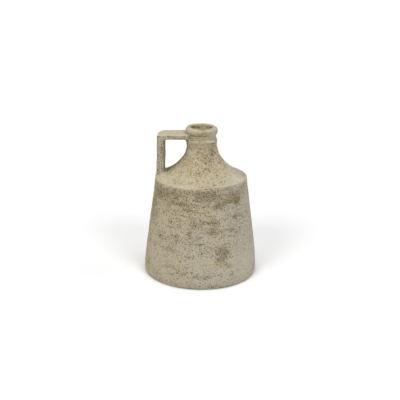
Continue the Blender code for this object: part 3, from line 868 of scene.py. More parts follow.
sideways = normals - root_direction * (normals * root_direction).sum(1)[:, None]
sideways /= np.maximum(np.linalg.norm(sideways, axis=1), LEAST_SIDEWAYS)[:, None]
broad = foot_share(points) * (1 - eased((np.hypot(points[:, 0], points[:, 1]) - FLARE_RADIUS) / FLARE_FADE))
reach = ROOT_FLARE + FOOT_FLARE * broad * (1 - np.clip(-OUTER_FACE_KEPT * normals[:, 0], 0, 1))
left_over = np.clip(reach - root_distance, 0, reach)
flare = reach - np.sqrt(reach ** 2 - left_over ** 2)
strap_marks = summed_marks(STRAP_MARKS, {"as it is": points, "pulled": points * PULLED_OUT})
strap_marks -= PIT * pits_of(points)
points += sideways * flare[:, None] + normals * strap_marks[:, None]
on_upright = eased((-points[:, 0] - UPRIGHT_FROM) / UPRIGHT_FADE)
points[:, 1] *= 1 - UPRIGHT_WAIST * on_upright * in_band(points, *WAIST_BAND)
handle.data.vertices.foreach_set("co", hand_shaped(points).ravel())
handle.data.update()
print("Points flared at the roots:", int((flare > 0.1 * MM).sum()))

# %% [markdown]
# ## Where the dark wash stays
# After firing, this vase was brushed with a thin brown wash and wiped. The wash stays in hollows, pits and
# creases, and the high places come out pale. So the first thing the finish needs to know is which points
# are high and which are low. Comparing each point with the average of its neighbours tells that: a point
# that stands out from them lies on a ridge, and one that sinks behind them lies in a groove.

# %% Measure high and low places
RELIEF_SCALE = 3.5 * MM
RELIEF_BLUR = 0.6
BLUR_PASSES = 2


def neighbour_mean(edges, values):
    """Average of a value over each point's neighbours."""
    total = np.zeros_like(values)
    count = np.zeros(len(values))
    for near, far in ((0, 1), (1, 0)):
        np.add.at(total, edges[:, near], values[edges[:, far]])
        np.add.at(count, edges[:, near], 1)
    return total / (count[:, None] if values.ndim > 1 else count)


def relief_of(thing):
    """From -1 in a groove to 1 on a ridge, for each point of a mesh."""
    points, normals = mesh_arrays(thing)
    edges = np.empty(len(thing.data.edges) * 2, int)
    thing.data.edges.foreach_get("vertices", edges)
    edges = edges.reshape(-1, 2)
    reach = np.linalg.norm(points[edges[:, 0]] - points[edges[:, 1]], axis=1)
    square = neighbour_mean(edges, np.zeros(len(points))) + np.median(reach) ** 2
    stand = (normals * (points - neighbour_mean(edges, points))).sum(1)
    relief = 2 * stand / square * RELIEF_SCALE
    for _ in range(BLUR_PASSES):
        relief = (1 - RELIEF_BLUR) * relief + RELIEF_BLUR * neighbour_mean(edges, relief)
    return np.clip(relief, -1, 1)


SKINS = {
    "floor_slab": floor_slab, "body_wall": body_wall, "shoulder_and_neck": shoulder,
    "neck_collar": collar, "lip": lip, "handle": handle,
}
for node, piece in SKINS.items():
    print(node, "relief spreads by", round(float(relief_of(piece).std()), 3))

# %% [markdown]
# ## Stains, listed one by one
# On the front the wash has dried in patches, and each is given here as it would be pencilled on the pot:
# how far round from the front in degrees, positive away from the handle, how high, how wide and how tall.
# A patch makes more dots and deeper ones. The patches stand in bands, from the ridge down and then the neck.

# %% Patches of wash
PATCHES = (
    # degrees round, height mm, half width in degrees, half height mm, strength
    (14, 209, 9, 2.5, 0.3), (37, 203, 9, 2, 0.35), (6, 198, 13, 4, 0.3), (11, 196, 8, 5, 0.25),
    (-32, 192, 12, 6, 0.3), (-61, 188, 4, 9, 0.5), (-50, 188, 14, 6, 0.12), (40, 188, 10, 8, 0.15),
    (1, 187, 6, 6, 0.5), (-45, 186, 14, 8, 0.45), (15, 185, 14, 8, 0.25), (52, 185, 8, 10, 0.25),
    (-55, 178, 10, 9, 0.4), (34, 177, 6, 5, 0.8), (48, 173, 5.5, 7, 1.4), (-27, 172, 12, 4, 1.05),
    (4, 171, 13, 3, 0.35), (23, 170, 6, 6, 0.85), (-70, 163, 5, 6, 0.7), (-14, 162, 7, 4, 0.7),
    (-68, 150, 5, 5, 0.6), (-45, 150, 5, 4, 0.45), (55, 144, 5, 5, 0.5), (44, 143, 4, 4, 1.0),
    (-8, 141, 3, 9, 0.4), (6, 139, 7, 4, 0.75), (-60, 135, 5, 8, 0.3), (-3, 134, 5, 3, 0.4),
    (17, 134, 4, 6, 0.3), (-33, 131, 4, 8, 0.4), (-70, 128, 6, 8, 0.5), (0, 128, 10, 14, 0.3),
    (-22, 127, 3, 4, 0.35), (17, 124, 5, 9, 0.3), (38, 119, 4, 4, 0.4), (14, 118, 5, 8, 0.4),
    (25, 118, 5, 3, 0.3), (-10, 113, 2, 6, 0.5), (-4, 107, 6, 4, 0.45), (-25, 107, 3, 4, 0.7),
    (-46, 99, 4, 6, 0.55), (-8, 98, 3, 2, 0.4), (-19, 97, 5, 4, 0.25), (-25, 96, 3, 4, 0.5),
    (3, 95, 4, 3, 0.75), (-53, 79, 5, 5, 0.5), (-33, 78, 7, 5, 0.65), (16, 78, 8, 10, 0.2),
    (27, 74, 7, 13, 1.05), (52, 70, 4, 3, 0.5), (-12, 68, 3, 4, 0.5), (21, 58, 5, 7, 0.5),
    (31, 47, 5, 5, 0.5), (-32, 42, 3, 4, 0.4), (-25, 42, 2, 3, 0.4), (-15, 30, 3, 4, 0.35),
    (36, 30, 6, 14, 0.3), (-66, 29, 5, 5, 0.5), (-1, 28, 4, 4, 0.3), (7, 28, 5, 3, 0.4),
    (-30, 8, 22, 3, 0.22), (18, 7, 9, 3, 0.4),
    (-35, 285, 8, 3, 0.3), (50, 277, 16, 3, 0.8), (44, 262, 14, 8, 0.7), (20, 246, 14, 8, 0.3),
    (-33, 242, 9, 3, 0.35), (60, 240, 6, 2, 0.4), (22, 232, 12, 6, 0.2), (5, 232, 14, 10, 0.2),
    (-5, 225, 10, 5, 0.2),
)
BROAD_WASH_AND_SHADE = (
    # the same for the thin, even veil: painted shade under the lip, wash on the neck, wash and painted shade
    # under the ridge, and wash on the far left
    (-10, 295.3, 60, 1.2, 0.5), (0, 289, 60, 1.0, 0.2), (20, 256, 40, 16, 0.3), (-98, 236, 22, 26, 0.2),
    (20, 222, 60, 18, 0.16), (0, 190, 75, 13, 0.36), (-74, 130, 10, 90, 0.3),
)
PATCH_EDGE = 0.8


def laid_on(points, marks):
    """How strongly a list of marks covers each point."""
    degrees = degrees_round(points)
    total = np.zeros(len(points))
    for azimuth, height, half_width, half_height, strength in marks:
        across = (degrees - azimuth) / half_width
        up = (points[:, 2] / MM - height) / half_height
        total += strength * np.exp(-PATCH_EDGE * (across ** 2 + up ** 2))
    return total


print("Patches laid on by eye:", len(PATCHES), "and broad veils:", len(BROAD_WASH_AND_SHADE))

# %% [markdown]
# ## Smears, rubbed places, and painted shade and light
# A finger that drags wash leaves a smooth olive smear without dots, mostly on the lip, in the groove and on
# the side of the neck by the handle. Under the lip's belly, in the groove by the handle and in the corner
# between the neck and the handle these smears are partly painted shade. Hands and sponge have rubbed other
# places pale: the ridge, the collar, the crown of the lip and the lower right of the wall. On the ridge, the
# collar and the lip's crown the pale is partly a painted highlight, and on the lower sides of the wall, in
# the groove under the lip and on the neck by the handle it is partly painted light over shade.

# %% Smears, rubs, painted shade and painted light
# Some smears below are painted shade: under the lip's belly, in the groove by the handle and on the neck
# beside it.
SMEARS_AND_SHADE = (
    # degrees round, height mm, half width in degrees, half height mm, strength
    (5, 307.5, 34, 1.6, 0.6), (12, 300, 11, 5, 1.2), (-40, 300, 20, 3.5, 0.45), (0, 299, 24, 3.5, 0.5),
    (-28, 296, 24, 2.2, 0.5), (-60, 291, 18, 6, 0.8), (0, 283, 16, 2.5, 0.2), (-75, 276, 14, 14, 0.8),
    (35, 274, 10, 3, 0.4), (-76, 272, 12, 18, 0.7), (-85, 245, 14, 25, 0.7), (0, 243, 90, 14, 0.12),
    (-42, 240, 16, 12, 0.25), (-98, 225, 20, 16, 0.7), (15, 222, 60, 22, 0.15),
)
RUBS_AND_PAINTED_LIGHT = (
    # the same for places painted pale: rubbed wear, painted highlights on the ridge, the collar and the lip's
    # crown, and painted light on the lower sides of the wall, in the groove under the lip and on the neck
    (0, 306, 60, 2, 0.25), (-45, 304, 24, 5, 0.9), (15, 302, 30, 4, 0.2), (48, 294, 20, 2.5, 0.9),
    (42, 290, 20, 5, 0.5), (-30, 290, 20, 5, 0.35), (-5, 290, 60, 3, 0.4), (35, 283, 26, 2.6, 0.6),
    (-10, 282.5, 22, 2.2, 0.3), (-55, 280, 30, 6, 0.4), (-45, 262, 16, 8, 0.9), (-20, 258, 14, 8, 0.3),
    (0, 225, 180, 22, 0.25), (60, 216, 20, 8, 0.5), (-10, 214, 60, 7, 0.3), (-40, 214, 14, 5, 0.2),
    (30, 209, 16, 1.5, 0.2), (62, 209, 14, 4, 0.9), (-60, 208, 12, 4, 0.5), (-11, 207, 8, 2, 0.4),
    (-42, 206, 16, 3, 0.4), (-20, 205, 14, 2.5, 0.6), (-10, 185, 6, 5, 0.2), (22, 158, 8, 5, 0.3),
    (-45, 133, 9, 14, 0.5), (12, 62, 8, 12, 0.3), (-8, 60, 20, 12, 0.3), (-62, 60, 18, 40, 0.45),
    (60, 45, 24, 40, 0.7), (40, 32, 20, 12, 0.3), (-35, 30, 16, 22, 0.25),
)
print("Smears:", len(SMEARS_AND_SHADE), "and rubbed places:", len(RUBS_AND_PAINTED_LIGHT))

# %% [markdown]
# ## The side that the picture doesn't show
# Nobody sees the back in the picture, so there a cloudy field puts down patches of the same size. A little of
# the same field is laid over the front too, so that the two sides don't look like two different pots.

# %% Wash listed in front, by chance behind
FRONT, BEHIND_FADE = 75.0, 15
BEHIND_WASH = 0.05
CHANCE_IN_FRONT, CHANCE_BEHIND = 0.10, 0.45
DRAWN_ROUND = (1, 1, 1.7)
LARGE_CLOUDS, SMALL_CLOUDS, SMALL_CLOUDS_SHARE = 26 * MM, 12 * MM, 0.6
CLEAREST = -0.3


def wash_and_shade_on(points):
    """How much wash stays at each point, from 0 up, with the painted shade of the broad veils."""
    behind = eased((np.abs(degrees_round(points)) - FRONT) / BEHIND_FADE)
    stretched = points * DRAWN_ROUND
    clouds = cloudy(stretched, LARGE_CLOUDS, seed=31)
    clouds += SMALL_CLOUDS_SHARE * cloudy(stretched, SMALL_CLOUDS, seed=32)
    by_chance = (CHANCE_IN_FRONT + CHANCE_BEHIND * behind) * np.clip(clouds, CLEAREST, 1)
    return laid_on(points, PATCHES + BROAD_WASH_AND_SHADE) + BEHIND_WASH * behind + by_chance


for node, piece in SKINS.items():
    print(node, "most wash:", round(float(wash_and_shade_on(mesh_arrays(piece)[0]).max()), 2))

# %% [markdown]
# ## Inside the mouth
# The lining of the neck can't be wiped, so it keeps a warmer, browner clay with dots of wash, thickest at the
# two ends of the opening as it is seen from the front. That cream is also painted paler than the outside's,
# as painted light that lifts the shade inside the neck, and deeper down it is painted paler still, where the
# shade is deepest.

# %% The lining's share of the finish
LINING_WASH, LINING_ENDS_WASH = 0.17, 0.6
ENDS_FROM, ENDS_FADE = 0.7, 0.25
# The lining is painted paler deeper down: painted light where the shade in the neck is deepest.
LINING_PAINTED_LIGHT, LINING_LIGHT_FROM, LINING_LIGHT_FADE = 0.4, 3 * MM, 7 * MM
LINING_SMEAR = 0.08
LINING_WARMTH_AND_LIGHT = 3.0
LINING_REACH, LINING_FADE, LINING_RIM = 3 * MM, 2 * MM, 1.5 * MM


def lining_share(points):
    """1 on the bore of the neck and deeper inside, 0 on the outside."""
    radius = np.hypot(points[:, 0], points[:, 1])
    inner = eased((BORE_RADIUS + LINING_REACH - radius) / LINING_FADE) * (points[:, 2] > THROAT_HEIGHT)
    return inner * eased((LIP_TOP - points[:, 2]) / LINING_RIM)


def lining_wash(points):
    """Wash in the lining, more of it at the two ends of the mouth."""
    sideways = np.abs(points[:, 0]) / BORE_RADIUS
    return LINING_WASH + LINING_ENDS_WASH * eased((sideways - ENDS_FROM) / ENDS_FADE)


print("Points in the lining:", int((lining_share(mesh_arrays(lip)[0]) > 0.5).sum()), "on the lip")

# %% [markdown]
# ## The brushed strap
# The strap was brushed, not dipped. A thin dark line is painted just inside its front's outer edge, a painted
# shade on the rounded edge; the front beside the window and the faces that turn down or towards the neck are
# painted darker, as painted shade. Both roots hold wash in their creases, at the upper root partly painted
# shade, and the top is painted paler, a painted light. The points' normals say which way each part faces,
# and the distance from the pot says where the roots are.

# %% Wash, rubbing and smears on the strap
STRAP_CREST = 294.2 * MM
# A dark line painted just inside the rounded outer edge of the strap's front: painted shade.
EDGE_SHADE_LINE, EDGE_SHADE_WIDTH, EDGE_SHADE_WASH = 3.2 * MM, 1.3 * MM, 0.9
# A darker band painted on the front beside the window: painted shade.
WINDOW_EDGE, WINDOW_FADE, WINDOW_SHADE = 3.5 * MM, 3 * MM, 0.5
UNDERSIDE_FADE = 4 * MM
FOOT_SMEAR, FOOT_SMEAR_WIDTH, BACK_CORNER = 6.5 * MM, 2 * MM, -85 * MM
FOOT_CLEAR = 4 * MM
FOOT_LINE_WASH, CORNER_WASH = 0.3, 0.5
# Wash in the crease at the upper root, partly painted shade where the strap meets the neck.
CREASE_REACH, CREASE_WASH_AND_SHADE, CREASE_SMEAR_AND_SHADE = 2.5 * MM, 0.7, 0.6
# Painted shade on faces turned down or towards the neck, as wash and smear.
STRAP_WASH, SHADED_WASH, SHADED_SMEAR, LESS_AT_FOOT = 0.05, 0.2, 0.6, 0.6
# The strap's top faces are painted paler: painted light.
STRAP_RUBBED, TOP_PAINTED_LIGHT = 0.35, 0.55
FULLY_TURNED = 1.5


def creased(distance):
    """1 where the strap meets the pot, fading away from it."""
    return np.exp(-(np.maximum(distance, 0) / CREASE_REACH) ** 2)


def front_painted_shade(points, distance):
    """Painted shade on the strap's front: a line inside the outer edge, a band by the window, none at the
    flare.
    """
    from_outside = np.minimum(FOOT_REACH + points[:, 0], STRAP_CREST - points[:, 2])
    line = np.exp(-((from_outside - EDGE_SHADE_LINE) / EDGE_SHADE_WIDTH) ** 2)
    from_window = -points[:, 0] - (FOOT_REACH - UPRIGHT_THICKNESS)
    inner = 1 - eased((from_window - WINDOW_EDGE) / WINDOW_FADE)
    inner *= eased((BAR_UNDERSIDE - points[:, 2]) / UNDERSIDE_FADE) * (from_window > -WINDOW_FADE)
    clear = 1 - foot_share(points) * (1 - eased((distance - FOOT_CLEAR) / FOOT_CLEAR))
    return clear * (EDGE_SHADE_WASH * line + WINDOW_SHADE * inner)


def strap_finish(points, normals):
    """Wash, rubbing and smears on the strap, with painted shade on faces turned away and painted light on
    top.
    """
    distance = above_the_pot(points)[0]
    at_foot = foot_share(points)
    front = np.clip(-normals[:, 1], 0, 1)
    # Faces turned down or towards the neck get painted shade.
    turned_away = np.clip(np.maximum(-normals[:, 2], normals[:, 0]) * FULLY_TURNED, 0, 1)
    foot_line = np.exp(-((distance - FOOT_SMEAR) / FOOT_SMEAR_WIDTH) ** 2)
    wash = STRAP_WASH + SHADED_WASH * turned_away * (1 - at_foot) + front * front_painted_shade(points, distance)
    wash += at_foot * foot_line * (FOOT_LINE_WASH + CORNER_WASH * (points[:, 0] < BACK_CORNER))
    # Painted shade, with some wash, in the crease at the upper root.
    wash += CREASE_WASH_AND_SHADE * creased(distance) * (1 - at_foot)
    # Painted light: the strap is painted paler where it faces up.
    rubbed = STRAP_RUBBED + TOP_PAINTED_LIGHT * np.clip(normals[:, 2], 0, 1)
    smear = CREASE_SMEAR_AND_SHADE * creased(distance) * (1 - at_foot)
    smear += SHADED_SMEAR * turned_away * (1 - LESS_AT_FOOT * at_foot)
    return wash, rubbed, smear


strap_wash = strap_finish(*mesh_arrays(handle))[0]
print("Wash on the strap: from", round(float(strap_wash.min()), 2), "to", round(float(strap_wash.max()), 2))

# %% [markdown]
# ## Warm and cool clay
# The clay is warmer on the side of the handle and towards the top, where the flame touched it more, and it
# drifts slowly everywhere. The faces of the strap that look forward are painted a cooler, mauve grey, a
# painted sheen, and on the lip the warm side and the cool side lie close together.

# %% Warmth of the clay
WARM_MIDDLE, WARM_TO_THE_LEFT, WARM_UPWARDS, WARM_FROM = 0.45, 4.5, 2.5, 110 * MM
WARM_DRIFT, DRIFT_SIZE = 0.25, 50 * MM
# A painted sheen: forward-facing faces of the strap's upright are painted a cooler grey.
STRAP_PAINTED_SHEEN, SHEEN_FROM, SHEEN_FADE = 1.2, 214 * MM, 12 * MM
LIP_TURN, LIP_TURN_WIDTH, LIP_TURN_FADE = 30, 20 * MM, 10 * MM


def warmth_and_light_of(points, normals, is_strap):
    """Warmth, with painted sheen and light: 0 cool cream, 1 warm, from 3 the lining's browner, paler clay."""
    warmth = WARM_MIDDLE - WARM_TO_THE_LEFT * points[:, 0] + WARM_UPWARDS * (points[:, 2] - WARM_FROM)
    warmth += WARM_DRIFT * cloudy(points, DRIFT_SIZE, seed=41)
    # Painted sheen on the strap's forward-facing faces.
    if is_strap:
        painted_sheen = STRAP_PAINTED_SHEEN * eased((points[:, 2] - SHEEN_FROM) / SHEEN_FADE)
        warmth -= painted_sheen * np.clip(-normals[:, 1], 0, 1)
    up_the_neck = eased((points[:, 2] - COLLAR_BASE) / LIP_TURN_FADE)
    warmth -= LIP_TURN * np.clip(points[:, 0], -LIP_TURN_WIDTH, LIP_TURN_WIDTH) * up_the_neck
    return warmth + LINING_WARMTH_AND_LIGHT * lining_share(points)


wall_warmth = warmth_and_light_of(*mesh_arrays(body_wall), False)
print("Warmth of the wall: from", *(round(float(end), 2) for end in (wall_warmth.min(), wall_warmth.max())))

# %% [markdown]
# ## Writing the finish onto the points
# Six numbers go onto every point as named attributes, and the material reads them back: the wash, with
# painted shade laid in, the relief, the rubbing, with painted highlights and painted light laid in, the pits,
# how warm the clay's colour is, with a painted sheen and painted light in it, and the smooth smears, some of
# them painted shade. An attribute is the easiest way to give a material something that it can't work out by
# itself, such as what lies in a crease.

# %% Attributes for the material
WIPED_SEAMS = (FOOT_HEIGHT, SHOULDER_SEAM)
WIPED_WIDTH = 3.5 * MM


def finish_of(node, piece):
    """The six numbers for each point of a skin, by name."""
    points, normals = mesh_arrays(piece)
    relief = relief_of(piece)
    for seam in WIPED_SEAMS:
        relief *= eased(np.abs(points[:, 2] - seam) / WIPED_WIDTH)
    if node == "handle":
        wash, rubbed, smear = strap_finish(points, normals)
    else:
        inside = lining_share(points)
        wash = wash_and_shade_on(points) * (1 - inside) + lining_wash(points) * inside
        # Rubbed places include painted highlights and painted light.
        rubbed = laid_on(points, RUBS_AND_PAINTED_LIGHT)
        # Painted light: deeper in the lining the clay is painted paler.
        rubbed += LINING_PAINTED_LIGHT * inside * eased((LIP_TOP - LINING_LIGHT_FROM - points[:, 2]) / LINING_LIGHT_FADE)
        smear = laid_on(points, SMEARS_AND_SHADE) + LINING_SMEAR * inside
    warmth = warmth_and_light_of(points, normals, node == "handle")
    return {"wash": wash, "relief": relief, "rubbed": rubbed, "pits": pits_of(points),
            "warmth": warmth, "smear": smear}


for node, piece in SKINS.items():
    for name, values in finish_of(node, piece).items():
        layer = piece.data.attributes.new(name, "FLOAT", "POINT")
        layer.data.foreach_set("value", np.asarray(values, np.float32))
print("Attributes on each skin:", ", ".join(sorted(floor_slab.data.attributes.keys())))

# %% [markdown]
# ## The clay
# The clay is a sandy cream stoneware, dry to the touch. From near to it has layers, and the material mixes
# them one over the other, each with its own mask: a body colour that drifts between warm and grey cream,
# with a painted mauve sheen on the strap's front, and browner and paler inside the mouth as painted light, a
# thin olive veil, smooth smears, grains of sand, dots and curls of brown wash, with painted shade laid in
# with the veil, the smears and the dots, the near-black floors of the pits, and pale worn high places, with
# painted highlights and painted light laid in with them.
# Noise nodes in object coordinates make the detail, so no picture is needed and it never stretches.

# %% A small helper for material nodes
class Bench:
    """Adds nodes to one material and links them in one call."""

    def __init__(self, name):
        self.material = bpy.data.materials.new(name)
        self.material.use_nodes = True
        self.tree = self.material.node_tree
        self.shader = self.tree.nodes["Principled BSDF"]

    def node(self, kind, inputs=(), **settings):
        """Add a node, set its properties, then set or link its inputs by name or number."""
        node = self.tree.nodes.new(kind)
        for key, value in settings.items():
            setattr(node, key, value)
        for key, value in dict(inputs).items():
            if isinstance(value, bpy.types.NodeSocket):
                self.tree.links.new(value, node.inputs[key])
            else:
                node.inputs[key].default_value = value
        return node

    def attribute(self, name):
        """A number stored on the points."""
        return self.node("ShaderNodeAttribute", attribute_name=name, attribute_type="GEOMETRY").outputs["Fac"]

    def noise(self, place, size, detail=2.0, roughness=0.55):
        """Noise whose blotches are about one size across."""
        inputs = {"Vector": place, "Scale": 1 / size, "Detail": detail, "Roughness": roughness}
        return self.node("ShaderNodeTexNoise", inputs).outputs["Fac"]

    def maths(self, operation, first, second=0.0, third=0.0):
        """One sum on two or three numbers."""
        return self.node("ShaderNodeMath", {0: first, 1: second, 2: third}, operation=operation).outputs[0]

    def swing(self, noise, strength, total):
        """A total, pushed up and down by a noise's swing about its middle."""
        return self.maths("MULTIPLY_ADD", self.maths("SUBTRACT", noise, 0.5), strength, total)

    def ramp(self, value, low, high, out_low=0.0, out_high=1.0):
        """Stretch a number smoothly from one range to another."""
        inputs = {"Value": value, "From Min": low, "From Max": high, "To Min": out_low, "To Max": out_high}
        return self.node("ShaderNodeMapRange", inputs, interpolation_type="SMOOTHSTEP").outputs["Result"]

    def mixed(self, share, under, over):
        """One colour laid over another."""
        node = self.node("ShaderNodeMix", {0: share}, data_type="RGBA")
        for socket, colour in ((node.inputs[6], under), (node.inputs[7], over)):
            if isinstance(colour, bpy.types.NodeSocket):
                self.tree.links.new(colour, socket)
            else:
                socket.default_value = (*colour, 1.0)
        return node.outputs[2]


print("The bench can add", ", ".join(name for name in vars(Bench) if not name.startswith("_")))

# %% [markdown]
# ## Specks
# Where a brush drags thin wash over sandy clay, it stays in the open pores, and each pore becomes one dark
# dot. A Voronoi texture gives one cell to each pore, with a random number of its own. Only the cells whose
# number beats the local dryness get a dot, and the more they beat it by the larger it grows. So a light veil
# of wash is a few fine dots, and a heavy patch is many dots that run together, as on the real one.

# %% Dots of wash
LARGEST_DOT = 0.52
RAGGED_SCALE, RAGGED_PUSH = 1.6, 0.7
DOT_GROWTH = 1.1
DOT_EDGE = (-0.06, 0.16)
RIM_WIDTHS = (0.085, 0.02)
RIMS_FROM_TO = (0.32, 0.78)


def specks(bench, place, cell, amount, largest=LARGEST_DOT):
    """Round, slightly ragged dots, one at most in each cell; the amount says how many and how big."""
    ragged = bench.node("ShaderNodeTexNoise", {"Vector": place, "Scale": RAGGED_SCALE / cell, "Detail": 1.0})
    shift = bench.node("ShaderNodeVectorMath", {0: ragged.outputs["Color"], 1: (0.5, 0.5, 0.5)},
                       operation="SUBTRACT")
    pushed = bench.node("ShaderNodeVectorMath", {0: shift.outputs[0], 1: (RAGGED_PUSH * cell,) * 3, 2: place},
                        operation="MULTIPLY_ADD")
    pores = bench.node("ShaderNodeTexVoronoi", {"Vector": pushed.outputs[0], "Scale": 1 / cell})
    dice = bench.node("ShaderNodeSeparateColor", {"Color": pores.outputs["Color"]})
    beaten_by = bench.maths("SUBTRACT", bench.maths("ADD", amount, dice.outputs["Red"]), 1.0)
    reach = bench.maths("MINIMUM", bench.maths("MULTIPLY", beaten_by, DOT_GROWTH), largest)
    inside = bench.maths("SUBTRACT", reach, pores.outputs["Distance"])
    return bench.ramp(inside, *DOT_EDGE), dice.outputs["Green"]


def dried_rims(bench, place, size, amount):
    """Thin curled lines, where a small puddle of wash has dried along its own edge."""
    puddle = bench.noise(place, size, 1.0, 0.5)
    off_edge = bench.maths("ABSOLUTE", bench.maths("SUBTRACT", puddle, 0.5))
    return bench.maths("MULTIPLY", bench.ramp(off_edge, *RIM_WIDTHS), bench.ramp(amount, *RIMS_FROM_TO))


print("Dots come from", specks.__name__, "and curls from", dried_rims.__name__)

# %% [markdown]
# ## Numbers and noises that every layer reads
# The sizes are the real ones: sand grains of a millimetre or two, freckles under a centimetre, and blotches
# of two or three centimetres. Noise that is read in stretched places comes out drawn round the pot, as the
# wheel draws it. Each layer could have noise of its own, but layers that share it stay in step, so that what
# is darker is also rougher and lies deeper.

# %% Fields of the surface
GRAIN = 1.0 * MM
SAND = 2.2 * MM
STREAK = 6.0 * MM
FRECKLE = 8.0 * MM
BLOTCH = 24 * MM
BY_THE_WHEEL = (1.0, 1.0, 1.7)
BY_A_FINGER = (0.3, 0.3, 1.6)


def surface_fields(bench):
    """The six numbers on the points and the noises, by name."""
    place = bench.node("ShaderNodeTexCoord").outputs["Object"]
    wheel = bench.node("ShaderNodeMapping", {"Vector": place, "Scale": BY_THE_WHEEL}).outputs[0]
    drawn = bench.node("ShaderNodeMapping", {"Vector": place, "Scale": BY_A_FINGER}).outputs[0]
    return SimpleNamespace(
        place=place,
        blotch=bench.noise(wheel, BLOTCH, 3.0, 0.6),
        freckle=bench.noise(wheel, FRECKLE, 3.0, 0.65),
        streak=bench.noise(drawn, STREAK, 2.0, 0.5),
        sand=bench.noise(place, SAND, 1.0, 0.5),
        grain=bench.noise(place, GRAIN, 1.0, 0.5),
        **{name: bench.attribute(name) for name in ("wash", "relief", "rubbed", "pits", "warmth", "smear")},
    )


print("Noises: grain, sand, streak, freckle and blotch, from", GRAIN / MM, "to", BLOTCH / MM, "mm")

# %% [markdown]
# ## The colour of the clay
# The body drifts between cool and warm cream, and inside the mouth it turns browner and paler, partly as
# painted light; on the strap's front it takes a painted mauve sheen. Over it lie the thin olive veil that
# wiped wash leaves and the smooth olive smears, both with painted shade laid in, and pale and dark grains of
# sand. One flat colour would look like paint, so each layer is mixed in by a measure. Its four numbers say
# where on that measure it starts and ends, and how well it covers at both.

# %% Body colour
WARM_CREAM = (0.478, 0.404, 0.266)
GREY_CREAM = (0.457, 0.412, 0.322)
# The lining's cream: its own browner clay, painted paler as painted light against the shade in the neck.
THROAT_CREAM_AND_LIGHT = (0.605, 0.478, 0.294)
# The strap's cool cream, which mostly shows as the painted sheen on its forward-facing faces.
MAUVE_SHEEN_CREAM = (0.430, 0.378, 0.318)
# The veil's olive, which also carries painted shade under the lip, under the ridge and on the strap.
OLIVE_VEIL_AND_SHADE = (0.310, 0.255, 0.145)
# The smears' olive, which also carries painted shade under the lip and beside the handle.
OLIVE_SMEAR_AND_SHADE = (0.320, 0.252, 0.135)
# The pale of worn places and sand, also the colour of painted highlights and painted light.
PALE_WORN_AND_LIT = (0.565, 0.520, 0.405)
COOL_TO_WARM, WARM_TO_THROAT = (0.1, 0.9), (2.3, 3.0)
TONE_DRIFT = 2.0
VEIL_NOISE = 0.7
VEIL_AND_SHADE_COVERS, SMEAR_AND_SHADE_COVERS = (0.70, 1.7, 0.0, 0.75), (0.0, 1.0, 0.0, 0.85)
PALE_SAND_COVERS, DARK_SAND_COVERS = (0.52, 0.30, 0.0, 0.48), (0.50, 0.72, 0.0, 0.55)


def clay_colour(bench, on, cool):
    """The body with its veil, its smears and its sand, and the painted light, sheen and shade in them."""
    tone = bench.swing(on.blotch, TONE_DRIFT, on.warmth)
    body = bench.mixed(bench.ramp(tone, *COOL_TO_WARM), cool, WARM_CREAM)
    body = bench.mixed(bench.ramp(tone, *WARM_TO_THROAT), body, THROAT_CREAM_AND_LIGHT)
    veil = bench.maths("MULTIPLY_ADD", on.freckle, VEIL_NOISE, on.wash)
    veil = bench.maths("MULTIPLY_ADD", on.blotch, VEIL_NOISE, veil)
    body = bench.mixed(bench.ramp(veil, *VEIL_AND_SHADE_COVERS), body, OLIVE_VEIL_AND_SHADE)
    body = bench.mixed(bench.ramp(on.smear, *SMEAR_AND_SHADE_COVERS), body, OLIVE_SMEAR_AND_SHADE)
    body = bench.mixed(bench.ramp(on.sand, *PALE_SAND_COVERS), body, PALE_WORN_AND_LIT)
    return bench.mixed(bench.ramp(on.sand, *DARK_SAND_COVERS), body, OLIVE_VEIL_AND_SHADE)


print("Body colours:", WARM_CREAM, GREY_CREAM, MAUVE_SHEEN_CREAM, "and inside the mouth", THROAT_CREAM_AND_LIGHT)

# %% [markdown]
# ## How much wash and painted shade is held
# The wash from the attribute, with painted shade laid in, isn't used as a tint: it raises the amount of dots,
# together with noise, and so do hollows, while ridges and rubbed places lower it, and so do the painted
# highlights and painted light laid in with the rubbing. Fine pores fill first, then the open ones. A few
# stray dots lie anywhere, and where the wash was thick it dried in curls.

# %% Dots, stray dots and curls together
FINE_PORE = 2.1 * MM
OPEN_PORE = 3.1 * MM
STRAY = 3.8 * MM
STRAY_LARGEST = 0.34
STRAY_SHOWS = (0.0, 1.0, 0.55, 1.0)
PUDDLE = 4.5 * MM
START_AMOUNT, WASH_AND_SHADE_ADDS, RIDGES_TAKE, RUBBED_AND_LIT_TAKE = 0.43, 0.55, -0.25, -0.25
NOISES_SWING = {"freckle": 1.10, "blotch": 0.30, "streak": 0.70}
FINE_PORES_EARLIER, FINE_PORES_SHOW = 0.10, 0.9
STRAY_START, WASH_AND_SHADE_ADDS_STRAY, RUBBED_AND_LIT_TAKE_STRAY = 0.50, 0.35, -0.4
RUBBED_AND_LIT_TAKE_CURLS = -0.6


